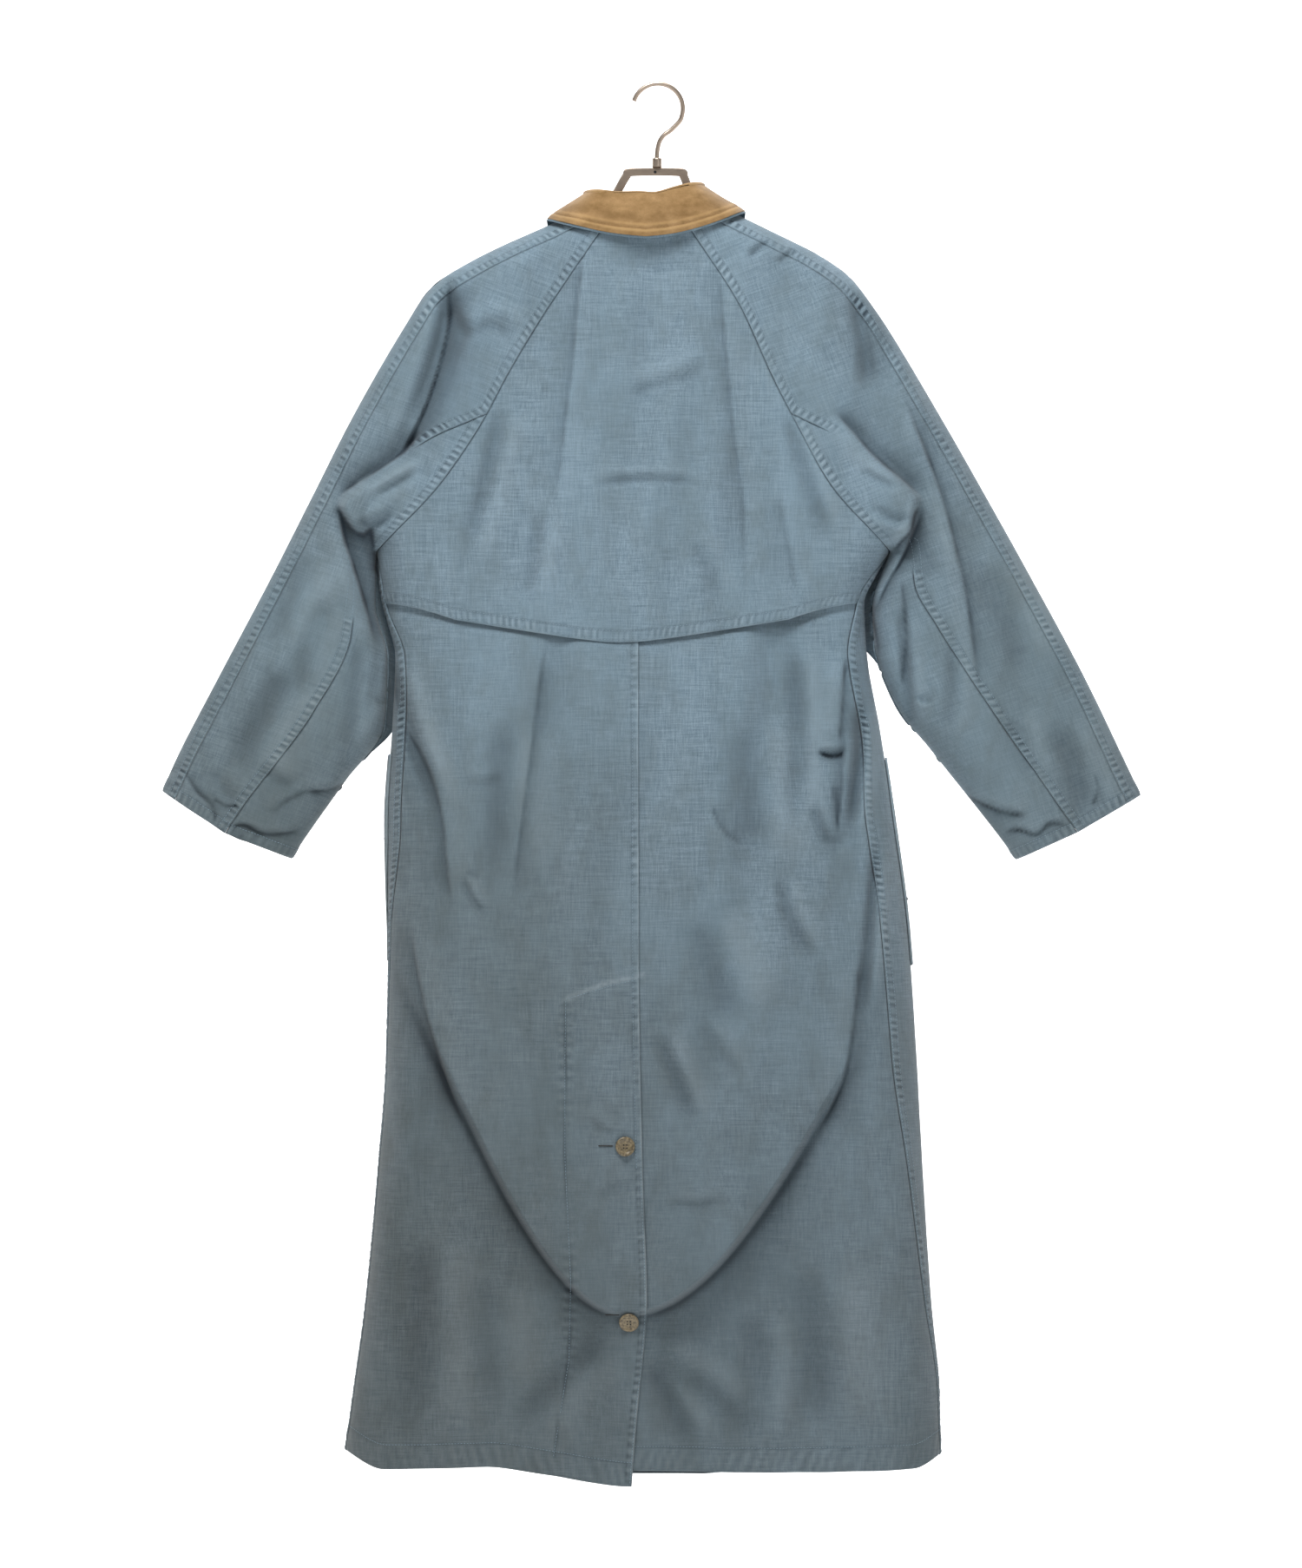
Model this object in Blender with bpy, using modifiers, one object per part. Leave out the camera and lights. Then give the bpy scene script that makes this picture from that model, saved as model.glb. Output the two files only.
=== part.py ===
"""A long denim coat with raglan sleeves and a storm cape, hanging on a flat-bar hanger.

Lengths in the tables are millimetres. Z is zero where a rail meets the inside of the hook, X runs across
the coat and the back of the coat faces -Y. A drop is a height counted down from the hook.
The cloth is one surface for the back and one for the front. Each lies at a depth worked out over the XZ plane:
full in the middle, rolling to nothing at the outline. Every piece is a patch of it between its seams.
"""

import bmesh
import bpy
import numpy as np
from mathutils import Vector

MM = 0.001
CLOTH = 1.3
SEAM_GAP = 0.3
COLLAR_CLOTH = 1.6
LAP_LIFT = 2.6
UNDERLAP_SINK = 1.8
FRONT_SHARE = 0.8
OVERARM_IN = 17.0
OVERARM_STRIP = 0.2
NECK_CENTRE = -11.0
NECK_DROP = 143.0
JUNCTION_DROP = 335.0
UNDERARM_DROP = 474.0
ARMHOLE_DEPTH = UNDERARM_DROP - JUNCTION_DROP
JUNCTION_ROW = 0.3
UNDERARM_ROW = 0.55
CAPE_SIDE_DROP = 527.0
CAPE_SAG = 40.0
CAPE_FLARE = 5.0
BACK_TOP_DROP = 500.0
FRONT_NECK_DROP = 235.0
FRONT_RAGLAN_DROP = 166.0
FRONT_LAP = 20.0
VENT_TOP_DROP = 904.0
UNDERLAP_NARROW = 9.0
UNDERLAP_WIDE = 70.0
LAP_START = 0.72
DRAPE_X = -30.0
DRAPE_DROP = 1245.0
DRAPE_STEP = 20.0
BUTTON_RADIUS = 10.0
BUTTON_THICK = 3.4
HOOK_WIRE = 3.8
HOOK_RADIUS = 25.5
FRAME_TALL = 8.5
FRAME_THICK = 2.6
RIDGE_ROWS = (0.06, 0.12, 0.18)
DENIM = (0.16, 0.24, 0.31)
TAN = (0.44, 0.27, 0.11)
HORN = (0.22, 0.18, 0.11)
STEEL = (0.6, 0.55, 0.5)


def columns(names, *rows):
    """A short table as one array for each named column."""
    return dict(zip(names.split(), np.array(rows, float).T))


OUTER_EDGES = columns(
    "row left_x left_drop right_x right_drop",
    (0.00, -86, 131, 64, 123),
    (0.05, -114, 144, 91, 136),
    (0.11, -155, 162, 126, 153),
    (0.17, -191, 180, 162, 171),
    (0.23, -230, 206, 195, 194),
    (0.30, -257, 246, 222, 228),
    (0.42, -310, 338, 289, 338),
    (0.52, -350, 417, 334, 417),
    (0.64, -390, 496, 378, 496),
    (0.80, -446, 602, 435, 602),
    (0.92, -487, 681, 473, 681),
    (1.00, -503, 717, 492, 721),
)
RAGLAN = columns(
    "drop left right",
    (143, -53, 31),
    (157, -62, 40),
    (227, -110, 85),
    (297, -152, 117),
    (335, -172, 136),
    (408, -221, 177),
    (474, -285, 237),
)
FRONT_RAGLAN = columns(
    "drop left right",
    (166, -78, 56),
    (262, -130, 99),
    (335, -172, 136),
    (408, -221, 177),
    (474, -285, 237),
)
SLEEVE_SEAM = columns(
    "along left_x left_drop right_x right_drop",
    (0.00, -172, 335, 136, 335),
    (0.13, -240, 366, 188, 362),
    (0.26, -292, 418, 238, 418),
    (0.36, -308, 474, 257, 470),
    (0.46, -306, 515, 262, 510),
    (0.55, -310, 560, 284, 550),
    (0.70, -348, 637, 324, 612),
    (0.92, -420, 733, 402, 724),
    (1.00, -438, 760, 427, 759),
)
INNER_EDGES = columns(
    "along left_x left_drop right_x right_drop",
    (0.00, -285, 474, 237, 474),
    (0.15, -286, 528, 219, 528),
    (0.32, -274, 582, 221, 568),
    (0.51, -277, 650, 243, 630),
    (0.68, -316, 706, 279, 676),
    (0.93, -363, 773, 353, 770),
    (1.00, -371, 786, 365, 787),
)
BODY_EDGES = columns(
    "drop left right left_wrap right_wrap",
    (474, -285, 237, 0, 0),
    (528, -279, 211, 4, 8),
    (582, -266, 214, 10, 20),
    (650, -269, 226, 14, 20),
    (749, -275, 241, 15, 29),
    (857, -273, 255, 3, 28),
    (987, -275, 264, 1, 26),
    (1097, -283, 270, 1, 16),
    (1236, -296, 279, 1, 7),
    (1324, -308, 287, 1, 2),
    (1390, -317, 288, 1, 1),
)
CENTRE_BACK = columns(
    "drop edge",
    (480, -19),
    (904, -18),
    (1108, -14),
    (1236, -10),
    (1281, -13),
    (1349, -20),
    (1425, -26),
)
BACK_HEM = columns(
    "x left right",
    (-320, 1384, 1400),
    (-276, 1403, 1400),
    (-175, 1402, 1400),
    (-107, 1410, 1402),
    (-30, 1420, 1404),
    (121, 1420, 1407),
    (260, 1420, 1403),
    (290, 1420, 1389),
)
DEPTHS = columns(
    "x drop depth",
    (-15, 140, 38),
    (-15, 260, 50),
    (-15, 420, 58),
    (-20, 620, 64),
    (-20, 900, 70),
    (-28, 1180, 78),
    (-28, 1410, 68),
    (-170, 335, 46),
    (136, 335, 46),
    (-215, 215, 24),
    (190, 215, 24),
    (-240, 440, 40),
    (200, 440, 40),
    (-350, 540, 27),
    (350, 560, 27),
    (-440, 740, 24),
    (430, 740, 24),
    (-215, 720, 54),
    (175, 720, 54),
    (-230, 1050, 56),
    (215, 1050, 56),
    (-260, 1390, 50),
    (240, 1390, 50),
)
DEPTH_REACH = 105.0
# A fold runs from its start to its end over the back (face -1) or the front (face 1).
FOLDS = columns(
    "face x0 drop0 x1 drop1 width height",
    (-1, -216, 215, -262, 380, 17, -9),
    (-1, 196, 215, 222, 345, 17, -9),
    (-1, -116, 555, -130, 800, 30, -9),
    (-1, 120, 545, 150, 800, 32, -9),
    (-1, -70, 560, -75, 900, 34, 6),
    (-1, 60, 560, 70, 900, 36, 6),
    (-1, -200, 1180, -240, 1400, 30, 8),
    (-1, -120, 1260, -130, 1420, 28, -7),
    (-1, 60, 1290, 90, 1420, 30, 8),
    (-1, 160, 1200, 185, 1410, 32, -8),
    (1, -150, 480, -170, 1000, 40, -9),
    (1, 130, 500, 150, 1050, 42, -9),
    (1, -80, 900, -100, 1420, 44, 8),
    (1, 90, 880, 110, 1420, 44, 8),
    (1, -220, 1000, -250, 1400, 40, -8),
    (1, 200, 980, 230, 1400, 40, -8),
)
# A pouch of sleeve cloth hangs over the underarm. Its edge runs from the start to the tip, then down to the foot.
POUCHES = columns(
    "start_x start_drop tip_x tip_drop foot_x foot_drop height",
    (-244, 362, -325, 424, -287, 520, 13),
    (200, 352, 270, 420, 236, 520, 13),
)


def smooth(knots, values):
    """A monotone cubic through the knots, as a function of an array, straight beyond the ends."""
    step = np.diff(knots)
    rate = np.diff(values) / step
    slope = np.zeros(len(knots))
    slope[0] = rate[0]
    slope[-1] = rate[-1]
    turns = rate[:-1] * rate[1:] <= 0
    mean = 2 * rate[:-1] * rate[1:] / np.where(turns, 1, rate[:-1] + rate[1:])
    slope[1:-1] = np.where(turns, 0, mean)

    def at(where):
        where = np.asarray(where, float)
        held = np.clip(where, knots[0], knots[-1])
        k = np.clip(np.searchsorted(knots, held, side="right") - 1, 0, len(step) - 1)
        t = (held - knots[k]) / step[k]
        rise = (1 + 2 * t) * (1 - t) ** 2 * values[k] + t * t * (3 - 2 * t) * values[k + 1]
        bend = step[k] * (t * (1 - t) ** 2 * slope[k] - t * t * (1 - t) * slope[k + 1])
        beyond = np.where(where < knots[0], slope[0], slope[-1]) * (where - held)
        return rise + bend + beyond

    return at


def track(table, side):
    """The seam or edge of one side as a function that gives (x, z) along it."""
    key = list(table)[0]
    across = smooth(table[key], table[side + "_x"])
    down = smooth(table[key], table[side + "_drop"])
    return lambda t: (across(t), -down(t))


outer = {side: track(OUTER_EDGES, side) for side in ("left", "right")}
inner = {side: track(INNER_EDGES, side) for side in ("left", "right")}
sleeve_seam = {side: track(SLEEVE_SEAM, side) for side in ("left", "right")}
raglan = {side: smooth(RAGLAN["drop"], RAGLAN[side]) for side in ("left", "right")}
front_raglan = {side: smooth(FRONT_RAGLAN["drop"], FRONT_RAGLAN[side]) for side in ("left", "right")}
body_edge = {side: smooth(BODY_EDGES["drop"], BODY_EDGES[side]) for side in ("left", "right")}
wrap = {side: smooth(BODY_EDGES["drop"], BODY_EDGES[side + "_wrap"]) for side in ("left", "right")}
back_hem = {side: smooth(BACK_HEM["x"], BACK_HEM[side]) for side in ("left", "right")}
centre_back = smooth(CENTRE_BACK["drop"], CENTRE_BACK["edge"])


def ease(t):
    """0 below 0, 1 above 1 and smooth between."""
    t = np.clip(t, 0, 1)
    return t * t * (3 - 2 * t)


def distance(line, x, z):
    """How far points lie from a line of straight pieces, and how far along it the nearest place is."""
    x, z = np.broadcast_arrays(np.asarray(x, float), np.asarray(z, float))
    best = np.full(x.shape, np.inf)
    place = np.zeros(x.shape)
    count = len(line) - 1
    for k in range(count):
        (ax, az), (bx, bz) = line[k], line[k + 1]
        along = ((x - ax) * (bx - ax) + (z - az) * (bz - az)) / ((bx - ax) ** 2 + (bz - az) ** 2)
        along = np.clip(along, 0, 1)
        away = np.hypot(x - ax - along * (bx - ax), z - az - along * (bz - az))
        place = np.where(away < best, (k + along) / count, place)
        best = np.minimum(best, away)
    return best, place


def points_on(curve, count=40):
    return np.stack(curve(np.linspace(0, 1, count)), axis=1)


def body_line(side):
    drop = np.linspace(UNDERARM_DROP, 1440, 40)
    return np.stack([body_edge[side](drop), -drop], axis=1)


OUTER_LINES = {side: points_on(outer[side]) for side in outer}
SLIT_LINES = {
    "body": [body_line("left"), body_line("right")],
    "left": [points_on(inner["left"]), body_line("right")],
    "right": [body_line("left"), points_on(inner["right"])],
}


def roll_radius(drop):
    """The cloth turns round the outline within this distance."""
    return np.interp(drop, (130, 200, 300, 500, 700), (26, 32, 38, 40, 46))


def rolled(away, radius):
    """Rises from 0 at the outline to 1 one radius in, as a quarter of an ellipse."""
    inside = np.clip(1 - away / radius, 0, 1)
    return np.sqrt(1 - inside**2)


def fullness(x, z, region):
    """The depth of the cloth over the XZ plane, and the share of it left by the roll at the outline."""
    away = np.hypot(x[..., None] - DEPTHS["x"], z[..., None] + DEPTHS["drop"])
    weight = np.exp(-((away / DEPTH_REACH) ** 2) / 2)
    depth = (weight * DEPTHS["depth"]).sum(-1) / (weight.sum(-1) + 1e-12)
    radius = roll_radius(-z)
    share = np.ones(x.shape)
    for line in [*OUTER_LINES.values(), *SLIT_LINES[region]]:
        share = share * rolled(distance(line, x, z)[0], radius)
    return depth * share, share


def drape_rise(x):
    """How far the big drape fold has risen above its lowest point, by how far it is from it across the back."""
    away = x - DRAPE_X
    steep = np.where(away < 0, 0.009, 0.0062)
    return 700 * (1 - np.exp(-steep * away**2 / 700))


def drape(x, z):
    """The back drops in below the big drape fold and swells a little above it."""
    away = x - DRAPE_X
    steep = np.where(away < 0, 0.009, 0.0062)
    slope = 2 * steep * away * np.exp(-steep * away**2 / 700)
    above = (z + DRAPE_DROP - drape_rise(x)) / np.sqrt(1 + slope**2)
    fade = 1 - ease((np.abs(away) - 120) / 130)
    tip = 1 - 0.6 * np.exp(-((away / 32) ** 2))
    swell = 6 * np.exp(-((above - 14) ** 2) / (2 * 26.0**2))
    return fade * tip * (swell - DRAPE_STEP * ease(0.5 - above / 16))


def fold_heights(x, z, face):
    """All the folds of one face, each a soft ridge or trough that dies away at its ends."""
    total = np.zeros(x.shape)
    for k in np.flatnonzero(FOLDS["face"] == face):
        line = np.array([[FOLDS["x0"][k], -FOLDS["drop0"][k]], [FOLDS["x1"][k], -FOLDS["drop1"][k]]])
        away, place = distance(line, x, z)
        shape = np.exp(-((away / FOLDS["width"][k]) ** 2)) * np.sin(np.pi * (0.12 + 0.76 * place))
        total += FOLDS["height"][k] * shape
    return total


def pouch(x, z):
    """The cloth that stands proud over each underarm, on the body's side of its two edges."""
    total = np.zeros(x.shape)
    for k in range(len(POUCHES["height"])):
        places = [(POUCHES[name + "_x"][k], -POUCHES[name + "_drop"][k]) for name in ("start", "tip", "foot")]
        start, tip, foot = places
        turn = 1 if tip[0] < start[0] else -1
        inside = np.ones(x.shape)
        for (ax, az), (bx, bz) in ((start, tip), (tip, foot)):
            length = np.hypot(bx - ax, bz - az)
            beside = turn * ((bx - ax) * (z - az) - (bz - az) * (x - ax)) / length
            inside = inside * ease(beside / 14 + 0.3)
        near = np.exp(-(((x - tip[0]) ** 2 + (z - tip[1]) ** 2) / (2 * 62.0**2)))
        total += POUCHES["height"][k] * inside * near
    return total


def back_depth(x, z, region):
    """The y of the back's outer face."""
    full, share = fullness(x, z, region)
    relief = fold_heights(x, z, -1) + pouch(x, z)
    if region == "body":
        relief = relief + drape(x, z)
    return -(full + share * relief)


def front_depth(x, z, region):
    """The y of the front's outer face."""
    full, share = fullness(x, z, region)
    return FRONT_SHARE * full + share * fold_heights(x, z, 1)


def placed(x, z, face, region):
    """Points of the cloth over places in the XZ plane: on the back where face is -1, on the front where it is 1."""
    x, z, face = np.broadcast_arrays(x, z, face)
    y = np.where(face < 0, back_depth(x, z, region), front_depth(x, z, region))
    return np.stack([x, y, z], axis=-1)


def arc(offset, radius):
    """The way along the roll from the outline to a place that far in from it."""
    turned = radius * np.arccos(np.clip(1 - offset / radius, -1, 1))
    return np.where(offset < radius, turned, radius * np.pi / 2 + offset - radius)


def unrolled(way, radius):
    """How far in from the outline a place is, that far along the roll."""
    quarter = radius * np.pi / 2
    turned = radius * (1 - np.cos(np.minimum(way / radius, np.pi)))
    return np.where(way < quarter, turned, radius + way - quarter)


def cape(u, v):
    """Across from raglan seam to raglan seam, down from the neck to the pointed hem."""
    edge_drop = NECK_DROP + v * (CAPE_SIDE_DROP - NECK_DROP)
    share = 0.5 - 0.5 * np.cos(np.pi * u)
    middle = np.clip(8 * share * (1 - share), 0, 1)
    sag = CAPE_SAG * (1.14 - np.sqrt((2 * share - 1) ** 2 + 0.02)) * ease(v) ** 1.5
    left, right = (
        np.where(
            edge_drop < UNDERARM_DROP,
            raglan[side](edge_drop),
            body_edge[side](edge_drop) + turn * wrap[side](edge_drop),
        )
        for side, turn in (("left", 1), ("right", -1))
    )
    point = placed(left + (right - left) * share, -(edge_drop + sag * middle), -1, "body")
    point[..., 1] -= CAPE_FLARE * ease((v - 0.7) / 0.3) * middle
    return point


def cape_hem_drop(x):
    share = np.clip((x + 279) / 490, 0, 1)
    return CAPE_SIDE_DROP + CAPE_SAG * (1.14 - np.sqrt((2 * share - 1) ** 2 + 0.02))


def back_drop(v, x, hem):
    """Rows of the back pieces: even above the big drape fold, close together across it and even below it."""
    fold = DRAPE_DROP - drape_rise(x)
    above = BACK_TOP_DROP + (fold - 9 - BACK_TOP_DROP) * v / 0.55
    across = fold - 9 + 18 * (v - 0.55) / 0.1
    below = fold + 9 + (hem - fold - 9) * (v - 0.65) / 0.35
    return np.where(v < 0.55, above, np.where(v < 0.65, across, below))


def seam_way(side, drop):
    """The side seam's place round the roll, from the outline towards the back."""
    return arc(wrap[side](drop), roll_radius(drop))


def tucked(x, z):
    """How far a back piece lies in under the cape, which ends at the cape's hem."""
    return 7.0 * ease((z + cape_hem_drop(x) + 14) / 18)


def back(side, u, v):
    """Across from the side seam to the centre back and on under the lap, down from the cape to the hem."""
    turn = 1 if side == "left" else -1
    lapped = np.clip((u - LAP_START) / (1 - LAP_START), 0, 1)
    x = np.where(side == "left", -300.0, 270.0) + turn * 280 * u
    for _ in range(8):
        drop = back_drop(v, x, back_hem[side](x))
        radius = roll_radius(drop)
        lap = np.interp(drop, (VENT_TOP_DROP, VENT_TOP_DROP + 24), (UNDERLAP_NARROW, UNDERLAP_WIDE))
        near = centre_back(drop) - (UNDERLAP_WIDE if side == "left" else 0)
        start = seam_way(side, drop)
        end = arc(turn * (near - body_edge[side](drop)), radius)
        way = start + (end - start) * np.minimum(u / LAP_START, 1)
        beyond = lapped * (UNDERLAP_WIDE if side == "left" else lap)
        x = body_edge[side](drop) + turn * (unrolled(np.maximum(way, 0), radius) + beyond)
    z = -drop
    point = placed(x, z, -1, "body")
    if side == "left":
        point[..., 1] -= LAP_LIFT * ease((x - centre_back(drop) + 112) / 22)
    else:
        below = ease((drop - VENT_TOP_DROP + 70) / 40)
        point[..., 1] += UNDERLAP_SINK * below * ease((centre_back(drop) - x) / 6)
    tuck = tucked(x, z)
    point[..., 1] += tuck
    point[..., 0] += turn * tuck * (1 - ease(turn * (x - body_edge[side](drop)) / 60))
    return point


def front_lap(side, x):
    """How far the left front is raised where it laps over the right one."""
    return LAP_LIFT * ease((x - NECK_CENTRE + FRONT_LAP + 20) / 16) * (side == "left")


def front(side, u, drop_side):
    """Across from the side seam or raglan seam to the front edge, down from the neck to the hem."""
    turn = 1 if side == "left" else -1
    hem_side = back_hem[side](body_edge[side](1388.0))
    share = (drop_side - FRONT_RAGLAN_DROP) / (hem_side - FRONT_RAGLAN_DROP)
    middle_drop = FRONT_NECK_DROP + share * (1414 - FRONT_NECK_DROP)
    drop = drop_side + (middle_drop - drop_side) * np.minimum(u / 0.77, 1)
    above = drop_side < UNDERARM_DROP
    edge = np.where(above, body_edge[side](UNDERARM_DROP), body_edge[side](np.maximum(drop, UNDERARM_DROP)))
    radius = roll_radius(drop)
    on_front = -arc(turn * (front_raglan[side](drop_side) - edge), radius)
    start = np.where(above, on_front, seam_way(side, np.maximum(drop_side, UNDERARM_DROP)))
    end = -arc(turn * (NECK_CENTRE - edge) + FRONT_LAP, radius)
    way = start + (end - start) * u
    x = edge + turn * unrolled(np.abs(way), radius)
    point = placed(x, -drop, np.where(way > 0, -1, 1), "body")
    point[..., 1] += front_lap(side, x)
    return point


def inner_end(side, v, seam_at):
    """The sleeve's inner border: down the raglan seam to the underarm, then down the inner edge to the cuff."""
    top = NECK_DROP if seam_at is raglan else FRONT_RAGLAN_DROP
    drop = np.where(
        v < JUNCTION_ROW,
        top + (JUNCTION_DROP - top) * v / JUNCTION_ROW,
        JUNCTION_DROP + ARMHOLE_DEPTH * (v - JUNCTION_ROW) / (UNDERARM_ROW - JUNCTION_ROW),
    )
    edge = inner[side]((v - UNDERARM_ROW) / (1 - UNDERARM_ROW))
    above = v < UNDERARM_ROW
    return np.where(above, seam_at[side](drop), edge[0]), np.where(above, -drop, edge[1])


def sleeve_seam_row(side, v):
    """The inner border of the back sleeve: the raglan seam, then the seam down the back of the sleeve."""
    above = inner_end(side, v, raglan)
    below = sleeve_seam[side]((v - JUNCTION_ROW) / (1 - JUNCTION_ROW))
    return np.where(v < JUNCTION_ROW, above[0], below[0]), np.where(v < JUNCTION_ROW, above[1], below[1])


def between(start, end, share):
    return start[0] + (end[0] - start[0]) * share, start[1] + (end[1] - start[1]) * share


def sleeve_back(side, u, v):
    """Across from the overarm seam to the raglan and sleeve seams, down from the neck to the cuff."""
    ridge, seam = outer[side](v), sleeve_seam_row(side, v)
    inset = OVERARM_IN / np.hypot(seam[0] - ridge[0], seam[1] - ridge[1])
    return placed(*between(ridge, seam, inset + (1 - inset) * u), -1, side)


def sleeve_under(side, u, v):
    """Across from the back sleeve seam to the armhole and the inner edge, down to the cuff."""
    share = u + (np.sin(0.5 * np.pi * u) - u) * ease((v - UNDERARM_ROW) / 0.1)
    return placed(*between(sleeve_seam_row(side, v), inner_end(side, v, raglan), share), -1, side)


def sleeve_front(side, u, v):
    """Across from the overarm seam, round the outer edge and over the front to armhole and inner edge."""
    ridge, seam = outer[side](v), sleeve_seam_row(side, v)
    far = inner_end(side, v, front_raglan)
    radius = roll_radius(-ridge[1])
    strip = OVERARM_STRIP
    start = arc(np.full(np.shape(u), OVERARM_IN), radius)
    width = np.hypot(seam[0] - ridge[0], seam[1] - ridge[1])
    behind = unrolled(start * np.clip(1 - u / strip, 0, 1), radius) / width
    ahead = np.clip((u - strip) / (1 - strip), 0, 1)
    rounded = ease((v - UNDERARM_ROW) / 0.1)
    open_share = 1 - np.cos(0.5 * np.pi * ahead)
    share = open_share + rounded * (0.5 - 0.5 * np.cos(np.pi * ahead) - open_share)
    x, z = between(ridge, far, share)
    back_x, back_z = between(ridge, seam, behind)
    on_back = u < strip
    return placed(np.where(on_back, back_x, x), np.where(on_back, back_z, z), np.where(on_back, -1, 1), side)


def outward(surface, u, v, flip):
    """The unit normals of a surface at the grid of u by v, taken inside the piece at its borders."""
    across_step = 2e-3
    down_step = 2e-3 * (v[-1] - v[0])
    grid_u, grid_v = np.meshgrid(u, v)
    right, left = np.minimum(grid_u + across_step, u[-1]), np.maximum(grid_u - across_step, u[0])
    low, high = np.minimum(grid_v + down_step, v[-1]), np.maximum(grid_v - down_step, v[0])
    across = surface(right, grid_v) - surface(left, grid_v)
    down = surface(grid_u, low) - surface(grid_u, high)
    normal = np.cross(across, down)
    return flip * normal / np.linalg.norm(normal, axis=-1, keepdims=True)


def trimmed(point, gap):
    """The grid with its four borders drawn in by a gap, so that neighbours stay clear of each other."""
    point = point.copy()
    sides = ((np.s_[:, 0], np.s_[:, 1]), (np.s_[:, -1], np.s_[:, -2]))
    ends = ((np.s_[0], np.s_[1]), (np.s_[-1], np.s_[-2]))
    for border, beside in (*sides, *ends):
        inwards = point[beside] - point[border]
        point[border] += gap * inwards / np.linalg.norm(inwards, axis=-1, keepdims=True)
    return point


def clear_scene():
    for obj in list(bpy.data.objects):
        bpy.data.objects.remove(obj, do_unlink=True)


def dressed(obj, colour, roughness, metallic=0.0):
    """Puts the object in the coat's collection with a material of its own."""
    coat.objects.link(obj)
    material = bpy.data.materials.new(obj.name)
    material.use_nodes = True
    shader = material.node_tree.nodes["Principled BSDF"]
    shader.inputs["Base Color"].default_value = (*colour, 1.0)
    shader.inputs["Roughness"].default_value = roughness
    shader.inputs["Metallic"].default_value = metallic
    obj.data.materials.append(material)
    return obj


def wall(name, point, normal, thickness, colour, roughness=0.9, metallic=0.0):
    """A cloth wall: a grid laid on the points, thickened inwards against the normals."""
    rows, across = point.shape[:2]
    mesh = bmesh.new()
    place = mesh.verts.layers.int.new("place")
    bmesh.ops.create_grid(mesh, x_segments=across - 1, y_segments=rows - 1, size=1.0)
    order = sorted(mesh.verts, key=lambda vert: (-round(vert.co.y, 5), round(vert.co.x, 5)))
    for k, vert in enumerate(order):
        vert.co = point.reshape(-1, 3)[k] * MM
        vert[place] = k
    made = bmesh.ops.extrude_face_region(mesh, geom=mesh.faces[:], use_keep_orig=True)
    for item in made["geom"]:
        if isinstance(item, bmesh.types.BMVert):
            k = item[place]
            item.co = (point.reshape(-1, 3)[k] - thickness * normal.reshape(-1, 3)[k]) * MM
    bmesh.ops.recalc_face_normals(mesh, faces=mesh.faces[:])
    if mesh.calc_volume(signed=True) < 0:
        bmesh.ops.reverse_faces(mesh, faces=mesh.faces[:])
    data = bpy.data.meshes.new(name)
    mesh.to_mesh(data)
    mesh.free()
    return dressed(bpy.data.objects.new(name, data), colour, roughness, metallic)


def panel(name, surface, u, v, flip):
    """A piece of the coat, with its seams drawn in. It returns the untrimmed grid and its normals."""
    grid_u, grid_v = np.meshgrid(u, v)
    point = surface(grid_u, grid_v)
    normal = outward(surface, u, v, flip)
    wall(name, trimmed(point, SEAM_GAP / 2 + 0.05), normal, CLOTH, DENIM)
    return point, normal


def grid_normals(point):
    """Unit normals of a grid of points, from the points beside each one."""
    normal = np.cross(np.gradient(point, axis=1), np.gradient(point, axis=0))
    return normal / np.linalg.norm(normal, axis=-1, keepdims=True)


def neck_place(turn):
    """The neck edge in the XZ plane. Turn runs from -1, left front, round the back at 0 to 1, right front."""
    reach = np.sin(np.pi * turn)
    ridge = np.where(turn < 0, 131.0, 123.0)
    out = np.abs(reach)
    at_back = NECK_DROP + (ridge - NECK_DROP) * np.clip((out - 0.56) / 0.44, 0, 1)
    on_sleeve = FRONT_RAGLAN_DROP + (ridge - FRONT_RAGLAN_DROP) * (out - 0.893) / 0.107
    on_front = FRONT_NECK_DROP + (FRONT_RAGLAN_DROP - FRONT_NECK_DROP) * out / 0.893
    at_front = np.where(out > 0.893, on_sleeve, on_front)
    return NECK_CENTRE + 75 * reach, -np.where(np.abs(turn) < 0.5, at_back, at_front)


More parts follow.
